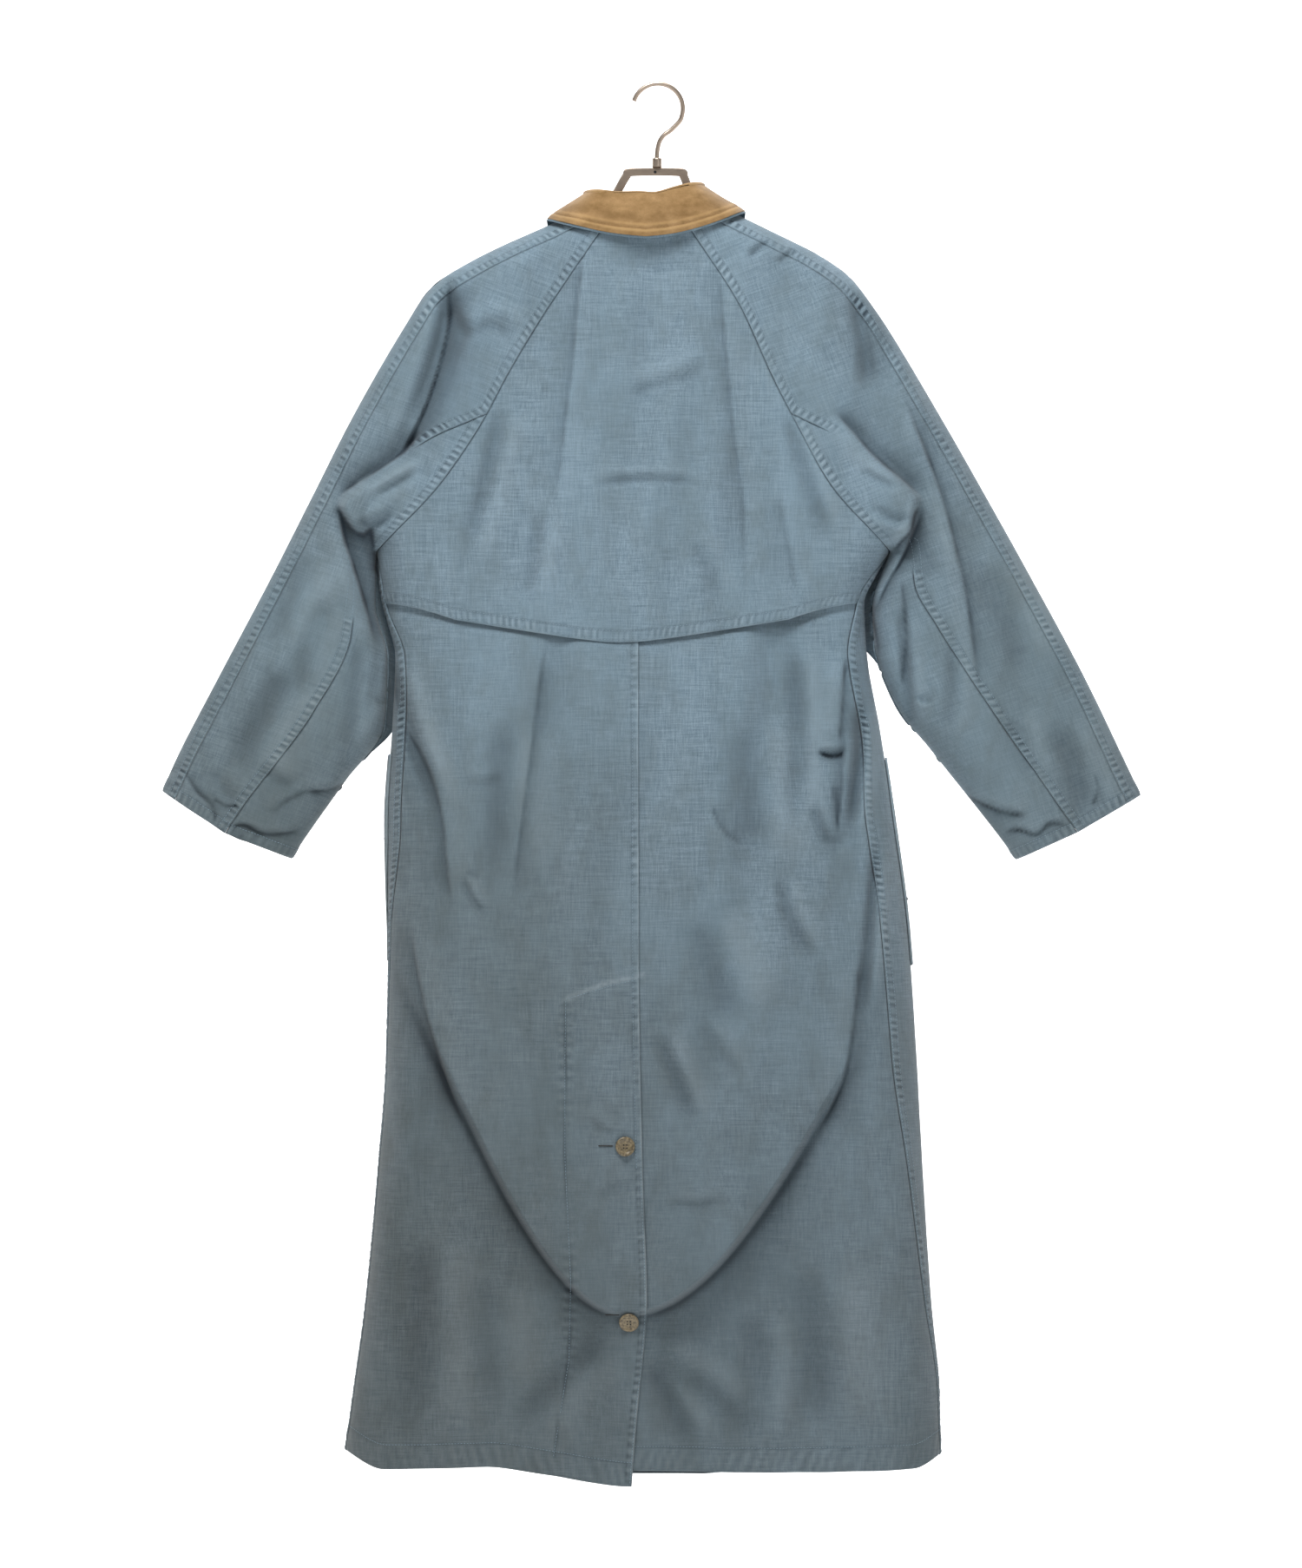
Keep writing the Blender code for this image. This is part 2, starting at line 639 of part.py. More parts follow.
def collar_grid(turn, part):
    """The folded collar: up its stand from the neck edge, over the fold and down its fall, for parts 0 to 8."""
    face = np.where(np.abs(turn) <= 0.5, -1, 1)
    to_front = np.clip((np.abs(turn) - 0.5) / 0.5, 0, 1)
    sideways, backwards = np.sin(np.pi * turn), np.cos(np.pi * turn)
    out = np.stack([sideways, -backwards, 0 * turn], axis=-1)
    forwards = np.where(face < 0, -backwards, np.minimum(5 * to_front, 1))
    lift = np.stack([0.43 * sideways, forwards, 0.9 * np.abs(sideways)], axis=-1)
    x, z = neck_place(turn)
    foot = placed(x, z, face, "body") - 0.65 * out
    foot[..., 2] += 0.6 + 0.8 * np.minimum(2 * to_front, 1)
    foot[..., 1] += np.where(turn < -0.5, front_lap("left", x), 0)
    top_drop = 114 - 2.5 * sideways**2 - 3 * sideways + 88 * to_front**1.2
    lean = np.where(face < 0, 0.86, 0.86 * (0.4 + 0.6 * np.minimum(-1.8 * backwards, 1)))
    top = np.stack([-13 + 58 * sideways, lean * foot[..., 1], -top_drop], axis=-1)
    corner = np.where(turn < 0, 141.6, 133.8)
    fall_drop = np.where(face < 0, 156 + (corner - 156) * sideways**2, corner + 147 * to_front**1.2)
    fall_reach = np.where(face < 0, 97 * sideways, np.sign(turn) * (97 - 40 * to_front**1.5))
    fall = placed(NECK_CENTRE + fall_reach, -fall_drop, face, "body") + 6.5 * lift
    up = np.array([0.0, 0.0, 1.0])
    bend = (3.4 + 3.4 * np.minimum(4 * to_front, 1))[..., None]
    round_top = [top + bend * (np.sin(a) * up - np.cos(a) * out) for a in np.radians((0, 45, 90, 135, 180))]
    stations = [foot, (foot + round_top[0]) / 2, *round_top, (round_top[4] + fall) / 2 + 1.0 * lift, fall]
    return np.stack(stations)[part]


def button(name, place, axis):
    """A turned button with a rim, its back at the place and its face along the axis."""
    face = ((0, 2.5), (6.2, 2.5), (7.4, 3.4), (9.0, 3.4))
    profile = columns("out up", *face, (10, 2.2), (10, 1.0), (8.4, 0), (0, 0))
    data = bpy.data.meshes.new(name)
    count = len(profile["out"])
    out, up = profile["out"] * BUTTON_RADIUS / 10, profile["up"] * BUTTON_THICK / 3.4
    corners = np.stack([out, 0 * out, up], axis=1)
    data.from_pydata((corners * MM).tolist(), [(k, k + 1) for k in range(count - 1)], [])
    obj = dressed(bpy.data.objects.new(name, data), HORN, 0.35)
    turned = obj.modifiers.new("turned", "SCREW")
    turned.axis = "Z"
    turned.steps = 14
    turned.render_steps = 14
    turned.use_merge_vertices = True
    turned.merge_threshold = 1e-5
    obj.location = Vector(np.asarray(place) * MM)
    obj.rotation_euler = Vector(axis).to_track_quat("Z", "X").to_euler()
    return obj


def surface_place(x, drop, face, lift):
    """A place on the body's face where a button clears the cloth by a lift, and the way out from it."""
    angle = np.radians(np.arange(0, 360, 30))
    spots_x = x + BUTTON_RADIUS * np.append(0, np.cos(angle))
    spots_z = -drop + BUTTON_RADIUS * np.append(0, np.sin(angle))
    point = placed(spots_x, spots_z, face, "body")
    out = np.cross(point[1] - point[7], point[10] - point[4]) * face
    out = out / np.linalg.norm(out)
    return point[0] + (lift + ((point - point[0]) @ out).max()) * out, out


def hook():
    """The hook: a wire bent through most of a circle, then back under its middle to the ferrule."""
    angle = np.radians(np.linspace(162, -40, 18))
    middle = HOOK_WIRE / 2 - HOOK_RADIUS
    bend = columns("x drop", (14.5, 45.2), (7.9, 49.8), (3.2, 56), (1.0, 63), (0.2, 69), (0, 73.7))
    x = np.concatenate([0.9 + HOOK_RADIUS * np.cos(angle), bend["x"]])
    z = np.concatenate([middle + HOOK_RADIUS * np.sin(angle), -bend["drop"]])
    curve = bpy.data.curves.new("hanger_hook", "CURVE")
    curve.dimensions = "3D"
    curve.bevel_depth = HOOK_WIRE / 2 * MM
    curve.bevel_resolution = 2
    curve.use_fill_caps = True
    line = curve.splines.new("POLY")
    line.points.add(len(x) - 1)
    for spot, px, pz in zip(line.points, x, z, strict=True):
        spot.co = (px * MM, 0.0, pz * MM, 1.0)
    return dressed(bpy.data.objects.new("hanger_hook", curve), STEEL, 0.25, 1.0)


def ferrule():
    """The short sleeve that holds the hook on the bar."""
    mesh = bmesh.new()
    bmesh.ops.create_cone(mesh, cap_ends=True, segments=20, radius1=4.8 * MM, radius2=4.8 * MM, depth=9.4 * MM)
    bmesh.ops.translate(mesh, verts=mesh.verts, vec=(0, 0, -78.7 * MM))
    data = bpy.data.meshes.new("hanger_ferrule")
    mesh.to_mesh(data)
    mesh.free()
    return dressed(bpy.data.objects.new("hanger_ferrule", data), STEEL, 0.25, 1.0)


def frame():
    """The flat bar: level at the top, down both legs into the neck and out along the shoulders under the cloth."""
    legs = {
        "left": columns("x drop", (-68, 139), (-52, 126), (-42, 111), (-31, 92), (-25, 88)),
        "right": columns("x drop", (52, 134), (39, 120), (32.5, 106), (27.5, 93), (22, 88)),
    }
    halves = {}
    for side, leg in legs.items():
        ridge = np.stack(outer[side](RIDGE_ROWS), axis=1)
        along = np.gradient(ridge, axis=0)
        along = along / np.linalg.norm(along, axis=1, keepdims=True)
        turn = 1 if side == "left" else -1
        below = turn * np.stack([along[:, 1], -along[:, 0]], axis=1)
        arm = (ridge - (CLOTH + 0.7 + FRAME_TALL / 2) * below)[::-1]
        halves[side] = np.concatenate([arm, np.stack([leg["x"], -leg["drop"]], axis=1)])
    line = np.concatenate([halves["left"], halves["right"][::-1]])
    step = np.diff(line, axis=0)
    across = np.stack([-step[:, 1], step[:, 0]], axis=1) / np.linalg.norm(step, axis=1, keepdims=True)
    mitre = np.concatenate([across[:1], across[:-1] + across[1:], across[-1:]])
    mitre[1:-1] = mitre[1:-1] / (1 + (across[:-1] * across[1:]).sum(1))[:, None]
    rims = [line + half * mitre for half in (-FRAME_TALL / 2, FRAME_TALL / 2)]
    face = np.full(len(line), -FRAME_THICK / 2)
    point = np.stack([np.stack([rim[:, 0], face, rim[:, 1]], axis=1) for rim in rims], axis=1)
    normal = np.broadcast_to(np.array([0.0, -1.0, 0.0]), point.shape)
    return wall("hanger_frame", point, normal, FRAME_THICK, STEEL, 0.3, 1.0)


clear_scene()
coat = bpy.data.collections.new("denim_coat")
bpy.context.scene.collection.children.link(coat)

seam_rows = np.concatenate([np.linspace(0, JUNCTION_ROW, 6), np.linspace(JUNCTION_ROW, UNDERARM_ROW, 5)[1:]])
sleeve_rows = np.concatenate([seam_rows, np.linspace(UNDERARM_ROW, 1, 10)[1:]])
raglan_drops = -inner_end("left", seam_rows, raglan)[1]
front_drops = -inner_end("left", seam_rows, front_raglan)[1]
cape_drops = np.concatenate([raglan_drops, [500.0, CAPE_SIDE_DROP]])
back_rows = np.concatenate([np.linspace(0, 0.55, 13), [0.6], np.linspace(0.65, 1, 8)])
under_rows = np.concatenate([[JUNCTION_ROW + 0.012], sleeve_rows[sleeve_rows > JUNCTION_ROW]])
back_columns = {
    "left": np.array([0, 0.08, 0.17, 0.28, 0.42, 0.57, LAP_START, 0.842, 0.964, 1]),
    "right": np.array([0, 0.07, 0.15, 0.25, 0.36, 0.48, 0.6, LAP_START, 0.756, 0.878, 1]),
}
front_columns = np.array([0, 0.06, 0.12, 0.19, 0.28, 0.4, 0.52, 0.65, 0.77, 0.89, 1])
sleeve_front_columns = np.array([0, 0.5 * OVERARM_STRIP, OVERARM_STRIP, 0.32, 0.44, 0.58, 0.72, 0.86, 1])

panel("cape", cape, np.linspace(0, 1, 19), (cape_drops - NECK_DROP) / (CAPE_SIDE_DROP - NECK_DROP), -1)
fronts = {}
for side, turn in (("left", 1), ("right", -1)):
    point, _ = panel(f"back_{side}", lambda u, v: back(side, u, v), back_columns[side], back_rows, -turn)
    side_drops = np.concatenate([front_drops, -point[:, 0, 2]])
    fronts[side] = panel(f"front_{side}", lambda u, v: front(side, u, v), front_columns, side_drops, turn)
    panel(f"sleeve_{side}_back", lambda u, v: sleeve_back(side, u, v), np.linspace(0, 1, 7), sleeve_rows, -turn)
    around = sleeve_front_columns
    panel(f"sleeve_{side}_front", lambda u, v: sleeve_front(side, u, v), around, sleeve_rows, turn)
    across = np.linspace(0, 1, 5)
    panel(f"sleeve_{side}_under", lambda u, v: sleeve_under(side, u, v), across, under_rows, -turn)

for side, first in (("left", 1), ("right", 2)):
    point, normal = fronts[side]
    rows = np.flatnonzero((-point[:, first, 2] > 675) & (-point[:, first, 2] < 885))
    strip = point[rows, first : first + 2]
    strip = np.stack([(1 - share) * strip[:, 0] + share * strip[:, 1] for share in (0.1, 0.9)], axis=1)
    way = grid_normals(strip)
    way = way * np.sign((way * normal[rows, first : first + 2]).sum())
    wall(f"welt_{side}", strip + (CLOTH + 0.4) * way, way, CLOTH, DENIM)

turns = np.linspace(-0.91, 0.91, 41)
folded = np.stack([collar_grid(turns, part) for part in range(9)])
way = -grid_normals(folded)
wall("collar", folded + (0.3 + COLLAR_CLOTH) * way, way, COLLAR_CLOTH, TAN)
wall("undercollar", folded - 0.3 * way, way, CLOTH, DENIM)

vent_buttons = (("vent_button_upper", -33, 1076, 0.5), ("vent_button_lower", -28, 1251, -1.0))
for name, x, drop, gap in vent_buttons:
    place, axis = surface_place(x, drop, -1, LAP_LIFT + gap)
    button(name, place, axis)
for k in range(5):
    place, axis = surface_place(NECK_CENTRE, 300 + 170 * k, 1, LAP_LIFT + 0.5)
    button(f"front_button_{k + 1}", place, axis)

hook()
ferrule()
frame()
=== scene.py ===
"""The looks of the denim coat on its hanger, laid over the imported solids.

Each cloth piece is worked out on a fine grid from the same seams, depths and folds as its solid, with finer
creases, felled seams, hems and stitches added. Lengths on the coat are millimetres until a mesh is made.
A drop is how far below the hook a place is, and the back of the coat faces -y.
"""

from functools import partial

import bpy
import numpy as np
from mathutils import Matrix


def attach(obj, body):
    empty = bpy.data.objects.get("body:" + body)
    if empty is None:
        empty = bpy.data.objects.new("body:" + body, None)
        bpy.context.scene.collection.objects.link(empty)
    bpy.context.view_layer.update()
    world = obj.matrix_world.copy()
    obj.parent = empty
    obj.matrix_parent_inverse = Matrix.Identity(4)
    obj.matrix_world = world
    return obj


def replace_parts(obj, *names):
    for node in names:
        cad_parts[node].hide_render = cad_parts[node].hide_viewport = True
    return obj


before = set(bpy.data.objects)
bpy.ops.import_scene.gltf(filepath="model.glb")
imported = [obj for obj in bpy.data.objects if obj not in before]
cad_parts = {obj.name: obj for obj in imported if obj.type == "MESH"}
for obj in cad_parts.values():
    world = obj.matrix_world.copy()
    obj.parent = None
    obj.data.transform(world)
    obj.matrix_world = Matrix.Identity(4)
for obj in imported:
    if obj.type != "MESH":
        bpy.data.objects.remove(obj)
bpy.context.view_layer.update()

MM = 0.001
# The way in from the outer edge of each side, along x.
SIDES = {"left": 1, "right": -1}
CLOTH = 1.3
COLLAR_CLOTH = 1.6
LAP_LIFT = 2.6
UNDERLAP_SINK = 1.8
FRONT_SHARE = 0.8
OVERARM_IN = 17.0
OVERARM_STRIP = 0.2
NECK_CENTRE = -11.0
NECK_DROP = 143.0
NECK_REACH = 75.0
# How far out the raglan seams meet the neck, at the back and at the front.
NECK_RAGLAN = (0.56, 0.893)
JUNCTION_DROP = 335.0
UNDERARM_DROP = 474.0
ARMHOLE_DEPTH = UNDERARM_DROP - JUNCTION_DROP
JUNCTION_ROW = 0.3
UNDERARM_ROW = 0.55
CAPE_SIDE_DROP = 527.0
CAPE_SAG = 40.0
CAPE_FLARE = 2.5
CAPE_TUCK = 3.4
BACK_TOP_DROP = 500.0
FRONT_NECK_DROP = 235.0
FRONT_RAGLAN_DROP = 166.0
FRONT_LAP = 20.0
FRONT_LEVEL = 0.77
FRONT_HEM_DROP = 1414.0
SIDE_HEM_DROP = 1388.0
BODY_END_DROP = 1440.0
VENT_TOP_DROP = 904.0
UNDERLAP_NARROW = 9.0
UNDERLAP_WIDE = 70.0
LAP_START = 0.72
DRAPE_X = -30.0
DRAPE_DROP = 1245.0
DRAPE_STEP = 20.0
DRAPE_TALL = 700.0
DRAPE_STEEP = (0.009, 0.0062)
# The rows of the back that lie across the big drape fold, and half the way across it.
FOLD_ROWS = (0.55, 0.65)
FOLD_HALF = 9.0
BUTTON_RADIUS = 10.0
BUTTON_GAP = 0.5
FRONT_BUTTON_DROP = 300.0
FRONT_BUTTON_STEP = 170.0
HOOK_WIRE = 3.8
HOOK_DRAWN = 1.2
HOOK_RADIUS = 25.5
FRAME_TALL = 8.5
FRAME_THICK = 2.6
RIDGE_ROWS = (0.06, 0.12, 0.18)
CREASE_STRENGTH = 1.9
# How much each millimetre of crease height darkens troughs as painted shade and lightens lips as wear.
CREASE_WEAR_AND_SHADE = 0.055
FELLED_ROWS = (1.6, 9.2)
HEM_ROW = 25.0
NARROW_HEM_ROW = 11.0
SLEEVE_LEAN = 20.0
DENIM_DARK = (66, 86, 100)
DENIM_LIGHT = (142, 163, 176)
DENIM_FADED = (113, 135, 148)
DENIM_GREY = (94, 108, 113)
DENIM_WORN = (158, 176, 186)
# Dark seam lines, and painted shade in the folds and under the drape fold.
DENIM_LINE_AND_SHADE = (28, 39, 50)
DENIM_SHADE = (240, 240, 239)
# Painted shade for the lower coat.
DENIM_LOW_SHADE = (218, 211, 206)
DENIM_LEFT = (236, 231, 226)
DENIM_SLEEVE = (238, 235, 231)
TAN_DARK = (122, 94, 57)
TAN_LIGHT = (168, 136, 95)
TAN_EDGE = (190, 157, 108)
TAN_LINE = (104, 78, 46)
HORN_DARK = (70, 62, 46)
HORN_LIGHT = (132, 118, 90)
CHAMPAGNE = (178, 162, 147)


# Tables read off the photo
def columns(names, *rows):
    """A short table as one array for each named column."""
    return dict(zip(names.split(), np.array(rows, float).T))


OUTER_EDGES = columns(
    "row left_x left_drop right_x right_drop",
    (0.00, -86, 131, 64, 123),
    (0.05, -114, 144, 91, 136),
    (0.11, -155, 162, 126, 153),
    (0.17, -191, 180, 162, 171),
    (0.23, -230, 206, 195, 194),
    (0.30, -257, 246, 222, 228),
    (0.42, -310, 338, 289, 338),
    (0.52, -350, 417, 334, 417),
    (0.64, -390, 496, 378, 496),
    (0.80, -446, 602, 435, 602),
    (0.92, -487, 681, 473, 681),
    (1.00, -503, 717, 492, 721),
)
RAGLAN = columns(
    "drop left right",
    (143, -53, 31),
    (157, -62, 40),
    (227, -110, 85),
    (297, -152, 117),
    (335, -172, 136),
    (408, -221, 177),
    (474, -285, 237),
)
FRONT_RAGLAN = columns(
    "drop left right",
    (166, -78, 56),
    (262, -130, 99),
    (335, -172, 136),
    (408, -221, 177),
    (474, -285, 237),
)
SLEEVE_SEAM = columns(
    "along left_x left_drop right_x right_drop",
    (0.00, -172, 335, 136, 335),
    (0.13, -240, 366, 188, 362),
    (0.26, -292, 418, 238, 418),
    (0.36, -308, 474, 257, 470),
    (0.46, -306, 515, 262, 510),
    (0.55, -310, 560, 284, 550),
    (0.70, -348, 637, 324, 612),
    (0.92, -420, 733, 402, 724),
    (1.00, -438, 760, 427, 759),
)
INNER_EDGES = columns(
    "along left_x left_drop right_x right_drop",
    (0.00, -285, 474, 237, 474),
    (0.15, -286, 528, 219, 528),
    (0.32, -274, 582, 221, 568),
    (0.51, -277, 650, 243, 630),
    (0.68, -316, 706, 279, 676),
    (0.93, -363, 773, 353, 770),
    (1.00, -371, 786, 365, 787),
)
BODY_EDGES = columns(
    "drop left right left_wrap right_wrap",
    (474, -285, 237, 0, 0),
    (528, -279, 211, 4, 8),
    (582, -266, 214, 10, 20),
    (650, -269, 226, 14, 20),
    (749, -275, 241, 15, 29),
    (857, -273, 255, 3, 28),
    (987, -275, 264, 1, 26),
    (1097, -283, 270, 1, 16),
    (1236, -296, 279, 1, 7),
    (1324, -308, 287, 1, 2),
    (1390, -317, 288, 1, 1),
)
CENTRE_BACK = columns(
    "drop edge",
    (480, -19),
    (904, -18),
    (1108, -14),
    (1236, -10),
    (1281, -13),
    (1349, -20),
    (1425, -26),
)
BACK_HEM = columns(
    "x left right",
    (-320, 1384, 1400),
    (-276, 1403, 1400),
    (-175, 1402, 1400),
    (-107, 1410, 1402),
    (-30, 1420, 1404),
    (121, 1420, 1407),
    (260, 1420, 1403),
    (290, 1420, 1389),
)
DEPTHS = columns(
    "x drop depth",
    (-15, 140, 38),
    (-15, 260, 50),
    (-15, 420, 58),
    (-20, 620, 64),
    (-20, 900, 70),
    (-28, 1180, 78),
    (-28, 1410, 68),
    (-170, 335, 46),
    (136, 335, 46),
    (-215, 215, 24),
    (190, 215, 24),
    (-240, 440, 40),
    (200, 440, 40),
    (-350, 540, 27),
    (350, 560, 27),
    (-440, 740, 24),
    (430, 740, 24),
    (-215, 720, 54),
    (175, 720, 54),
    (-230, 1050, 56),
    (215, 1050, 56),
    (-260, 1390, 50),
    (240, 1390, 50),
)
DEPTH_REACH = 105.0
# A fold runs from its start to its end over the back (face -1) or the front (face 1).
FOLDS = columns(
    "face x0 drop0 x1 drop1 width height",
    (-1, -216, 215, -262, 380, 17, -9),
    (-1, 196, 215, 222, 345, 17, -9),
    (-1, -116, 555, -130, 800, 30, -9),
    (-1, 120, 545, 150, 800, 32, -9),
    (-1, -70, 560, -75, 900, 34, 6),
    (-1, 60, 560, 70, 900, 36, 6),
    (-1, -200, 1180, -240, 1400, 30, 8),
    (-1, -120, 1260, -130, 1420, 28, -7),
    (-1, 60, 1290, 90, 1420, 30, 8),
    (-1, 160, 1200, 185, 1410, 32, -8),
    (1, -150, 480, -170, 1000, 40, -9),
    (1, 130, 500, 150, 1050, 42, -9),
    (1, -80, 900, -100, 1420, 44, 8),
    (1, 90, 880, 110, 1420, 44, 8),
    (1, -220, 1000, -250, 1400, 40, -8),
    (1, 200, 980, 230, 1400, 40, -8),
)
# A pouch of sleeve cloth hangs over the underarm. Its edge runs from the start to the tip, then to the foot.
POUCH_EDGE = ("start", "tip", "foot")
POUCHES = columns(
    "start_x start_drop tip_x tip_drop foot_x foot_drop height",
    (-244, 362, -325, 424, -287, 520, 13),
    (200, 352, 270, 420, 236, 520, 13),
)


# The form of the coat
def smooth(knots, values):
    """A monotone cubic through the knots, as a function of an array, straight beyond the ends."""
    step = np.diff(knots)
    rate = np.diff(values) / step
    slope = np.zeros(len(knots))
    slope[0] = rate[0]
    slope[-1] = rate[-1]
    turns = rate[:-1] * rate[1:] <= 0
    mean = 2 * rate[:-1] * rate[1:] / np.where(turns, 1, rate[:-1] + rate[1:])
    slope[1:-1] = np.where(turns, 0, mean)

    def at(where):
        where = np.asarray(where, float)
        held = np.clip(where, knots[0], knots[-1])
        k = np.clip(np.searchsorted(knots, held, side="right") - 1, 0, len(step) - 1)
        t = (held - knots[k]) / step[k]
        rise = (1 + 2 * t) * (1 - t) ** 2 * values[k] + t * t * (3 - 2 * t) * values[k + 1]
        bend = step[k] * (t * (1 - t) ** 2 * slope[k] - t * t * (1 - t) * slope[k + 1])
        beyond = np.where(where < knots[0], slope[0], slope[-1]) * (where - held)
        return rise + bend + beyond

    return at


def track(table, side):
    """The seam or edge of one side as a function that gives (x, z) along it."""
    key = list(table)[0]
    across = smooth(table[key], table[side + "_x"])
    down = smooth(table[key], table[side + "_drop"])
    return lambda t: (across(t), -down(t))


outer = {side: track(OUTER_EDGES, side) for side in SIDES}
inner = {side: track(INNER_EDGES, side) for side in SIDES}
sleeve_seam = {side: track(SLEEVE_SEAM, side) for side in SIDES}
raglan = {side: smooth(RAGLAN["drop"], RAGLAN[side]) for side in SIDES}
front_raglan = {side: smooth(FRONT_RAGLAN["drop"], FRONT_RAGLAN[side]) for side in SIDES}
body_edge = {side: smooth(BODY_EDGES["drop"], BODY_EDGES[side]) for side in SIDES}
wrap = {side: smooth(BODY_EDGES["drop"], BODY_EDGES[side + "_wrap"]) for side in SIDES}
back_hem = {side: smooth(BACK_HEM["x"], BACK_HEM[side]) for side in SIDES}
centre_back = smooth(CENTRE_BACK["drop"], CENTRE_BACK["edge"])


def ease(t):
    """0 below 0, 1 above 1 and smooth between."""
    t = np.clip(t, 0, 1)
    return t * t * (3 - 2 * t)


def hump(where, centre, width):
    """A soft hump of height 1 about a centre."""
    return np.exp(-(((where - centre) / width) ** 2))


def unit(vectors):
    """Vectors brought to length 1."""
    return vectors / np.linalg.norm(vectors, axis=-1, keepdims=True)


def beside(line, x, z):
    """How far points lie from a bent line, above 0 on its left, and their place along it in its pieces."""
    away = np.full(x.shape, np.inf)
    place = np.zeros(x.shape)
    for k, ((ax, az), (bx, bz)) in enumerate(zip(line[:-1], line[1:], strict=True)):
        along = ((x - ax) * (bx - ax) + (z - az) * (bz - az)) / ((bx - ax) ** 2 + (bz - az) ** 2)
        along = np.clip(along, 0, 1)
        far = np.hypot(x - ax - along * (bx - ax), z - az - along * (bz - az))
        turn = np.where((bx - ax) * (z - az) > (bz - az) * (x - ax), 1, -1)
        nearer = far < np.abs(away)
        place = np.where(nearer, k + along, place)
        away = np.where(nearer, turn * far, away)
    return away, place


def passed(line):
    """How far along a line of straight pieces each of its points is."""
    return np.append(0, np.linalg.norm(np.diff(line, axis=0), axis=1).cumsum())


def within(line, reach, x, z):
    """Which points lie in the box round a line, widened by a reach."""
    low = line.min(axis=0) - reach
    high = line.max(axis=0) + reach
    return (x > low[0]) & (x < high[0]) & (z > low[1]) & (z < high[1])


def points_on(curve, count=40):
    """Points of the XZ plane along a track, evenly by its own measure."""
    return np.stack(curve(np.linspace(0, 1, count)), axis=1)


def body_line(side):
    """The body's outer edge below the underarm, as points of the XZ plane."""
    drop = np.linspace(UNDERARM_DROP, BODY_END_DROP, 40)
    return np.stack([body_edge[side](drop), -drop], axis=1)


OUTER_LINES = {side: points_on(outer[side]) for side in outer}
SLIT_LINES = {
    "body": [body_line("left"), body_line("right")],
    "left": [points_on(inner["left"]), body_line("right")],
    "right": [body_line("left"), points_on(inner["right"])],
}


def roll_radius(drop):
    """The cloth turns round the outline within this distance."""
    return np.interp(drop, (130, 200, 300, 500, 700), (26, 32, 38, 40, 46))


def rolled(away, radius):
    """Rises from 0 at the outline to 1 one radius in, as a quarter of an ellipse."""
    inside = np.clip(1 - away / radius, 0, 1)
    return np.sqrt(1 - inside**2)


def fullness(x, z, region):
    """The depth of the cloth over the XZ plane, and the share of it left by the roll at the outline."""
    away = np.hypot(x[..., None] - DEPTHS["x"], z[..., None] + DEPTHS["drop"])
    weight = np.exp(-((away / DEPTH_REACH) ** 2) / 2)
    depth = (weight * DEPTHS["depth"]).sum(-1) / (weight.sum(-1) + 1e-12)
    radius = roll_radius(-z)
    share = np.ones(x.shape)
    for line in [*OUTER_LINES.values(), *SLIT_LINES[region]]:
        share = share * rolled(np.abs(beside(line, x, z)[0]), radius)
    return depth * share, share


def drape_curve(x):
    """How far the big drape fold has risen from its lowest point to x across the back, and its slope."""
    away = x - DRAPE_X
    steep = np.where(away < 0, *DRAPE_STEEP)
    left = np.exp(-steep * away**2 / DRAPE_TALL)
    return DRAPE_TALL * (1 - left), 2 * steep * away * left


def drape(x, z):
    """The back drops in below the big drape fold and swells a little above it."""
    away = x - DRAPE_X
    rise, slope = drape_curve(x)
    above = (z + DRAPE_DROP - rise) / np.sqrt(1 + slope**2)
    fade = 1 - ease((np.abs(away) - 120) / 130)
    tip = 1 - 0.6 * hump(away, 0, 32)
    swell = 8 * np.exp(-((above - 14) ** 2) / (2 * 24.0**2))
    return fade * tip * (swell - DRAPE_STEP * ease(0.5 - above / 9))


def fold_heights(x, z, face):
    """All the folds of one face, each a soft ridge or trough that dies away at its ends."""
    total = np.zeros(x.shape)
    for k in np.flatnonzero(FOLDS["face"] == face):
        line = np.array([[FOLDS["x0"][k], -FOLDS["drop0"][k]], [FOLDS["x1"][k], -FOLDS["drop1"][k]]])
        away, place = beside(line, x, z)
        total += FOLDS["height"][k] * hump(away, 0, FOLDS["width"][k]) * np.sin(np.pi * (0.12 + 0.76 * place))
    return total


def pouch(x, z):
    """The cloth that stands proud over each underarm, on the body's side of its two edges."""
    total = np.zeros(x.shape)
    for k in range(len(POUCHES["height"])):
        start, tip, foot = ((POUCHES[f"{at}_x"][k], -POUCHES[f"{at}_drop"][k]) for at in POUCH_EDGE)
        turn = 1 if tip[0] < start[0] else -1
        inside = np.ones(x.shape)
        for (ax, az), (bx, bz) in ((start, tip), (tip, foot)):
            length = np.hypot(bx - ax, bz - az)
            inwards = turn * ((bx - ax) * (z - az) - (bz - az) * (x - ax)) / length
            inside = inside * ease(inwards / 14 + 0.3)
        near = np.exp(-(((x - tip[0]) ** 2 + (z - tip[1]) ** 2) / (2 * 62.0**2)))
        total += POUCHES["height"][k] * inside * near
    return total


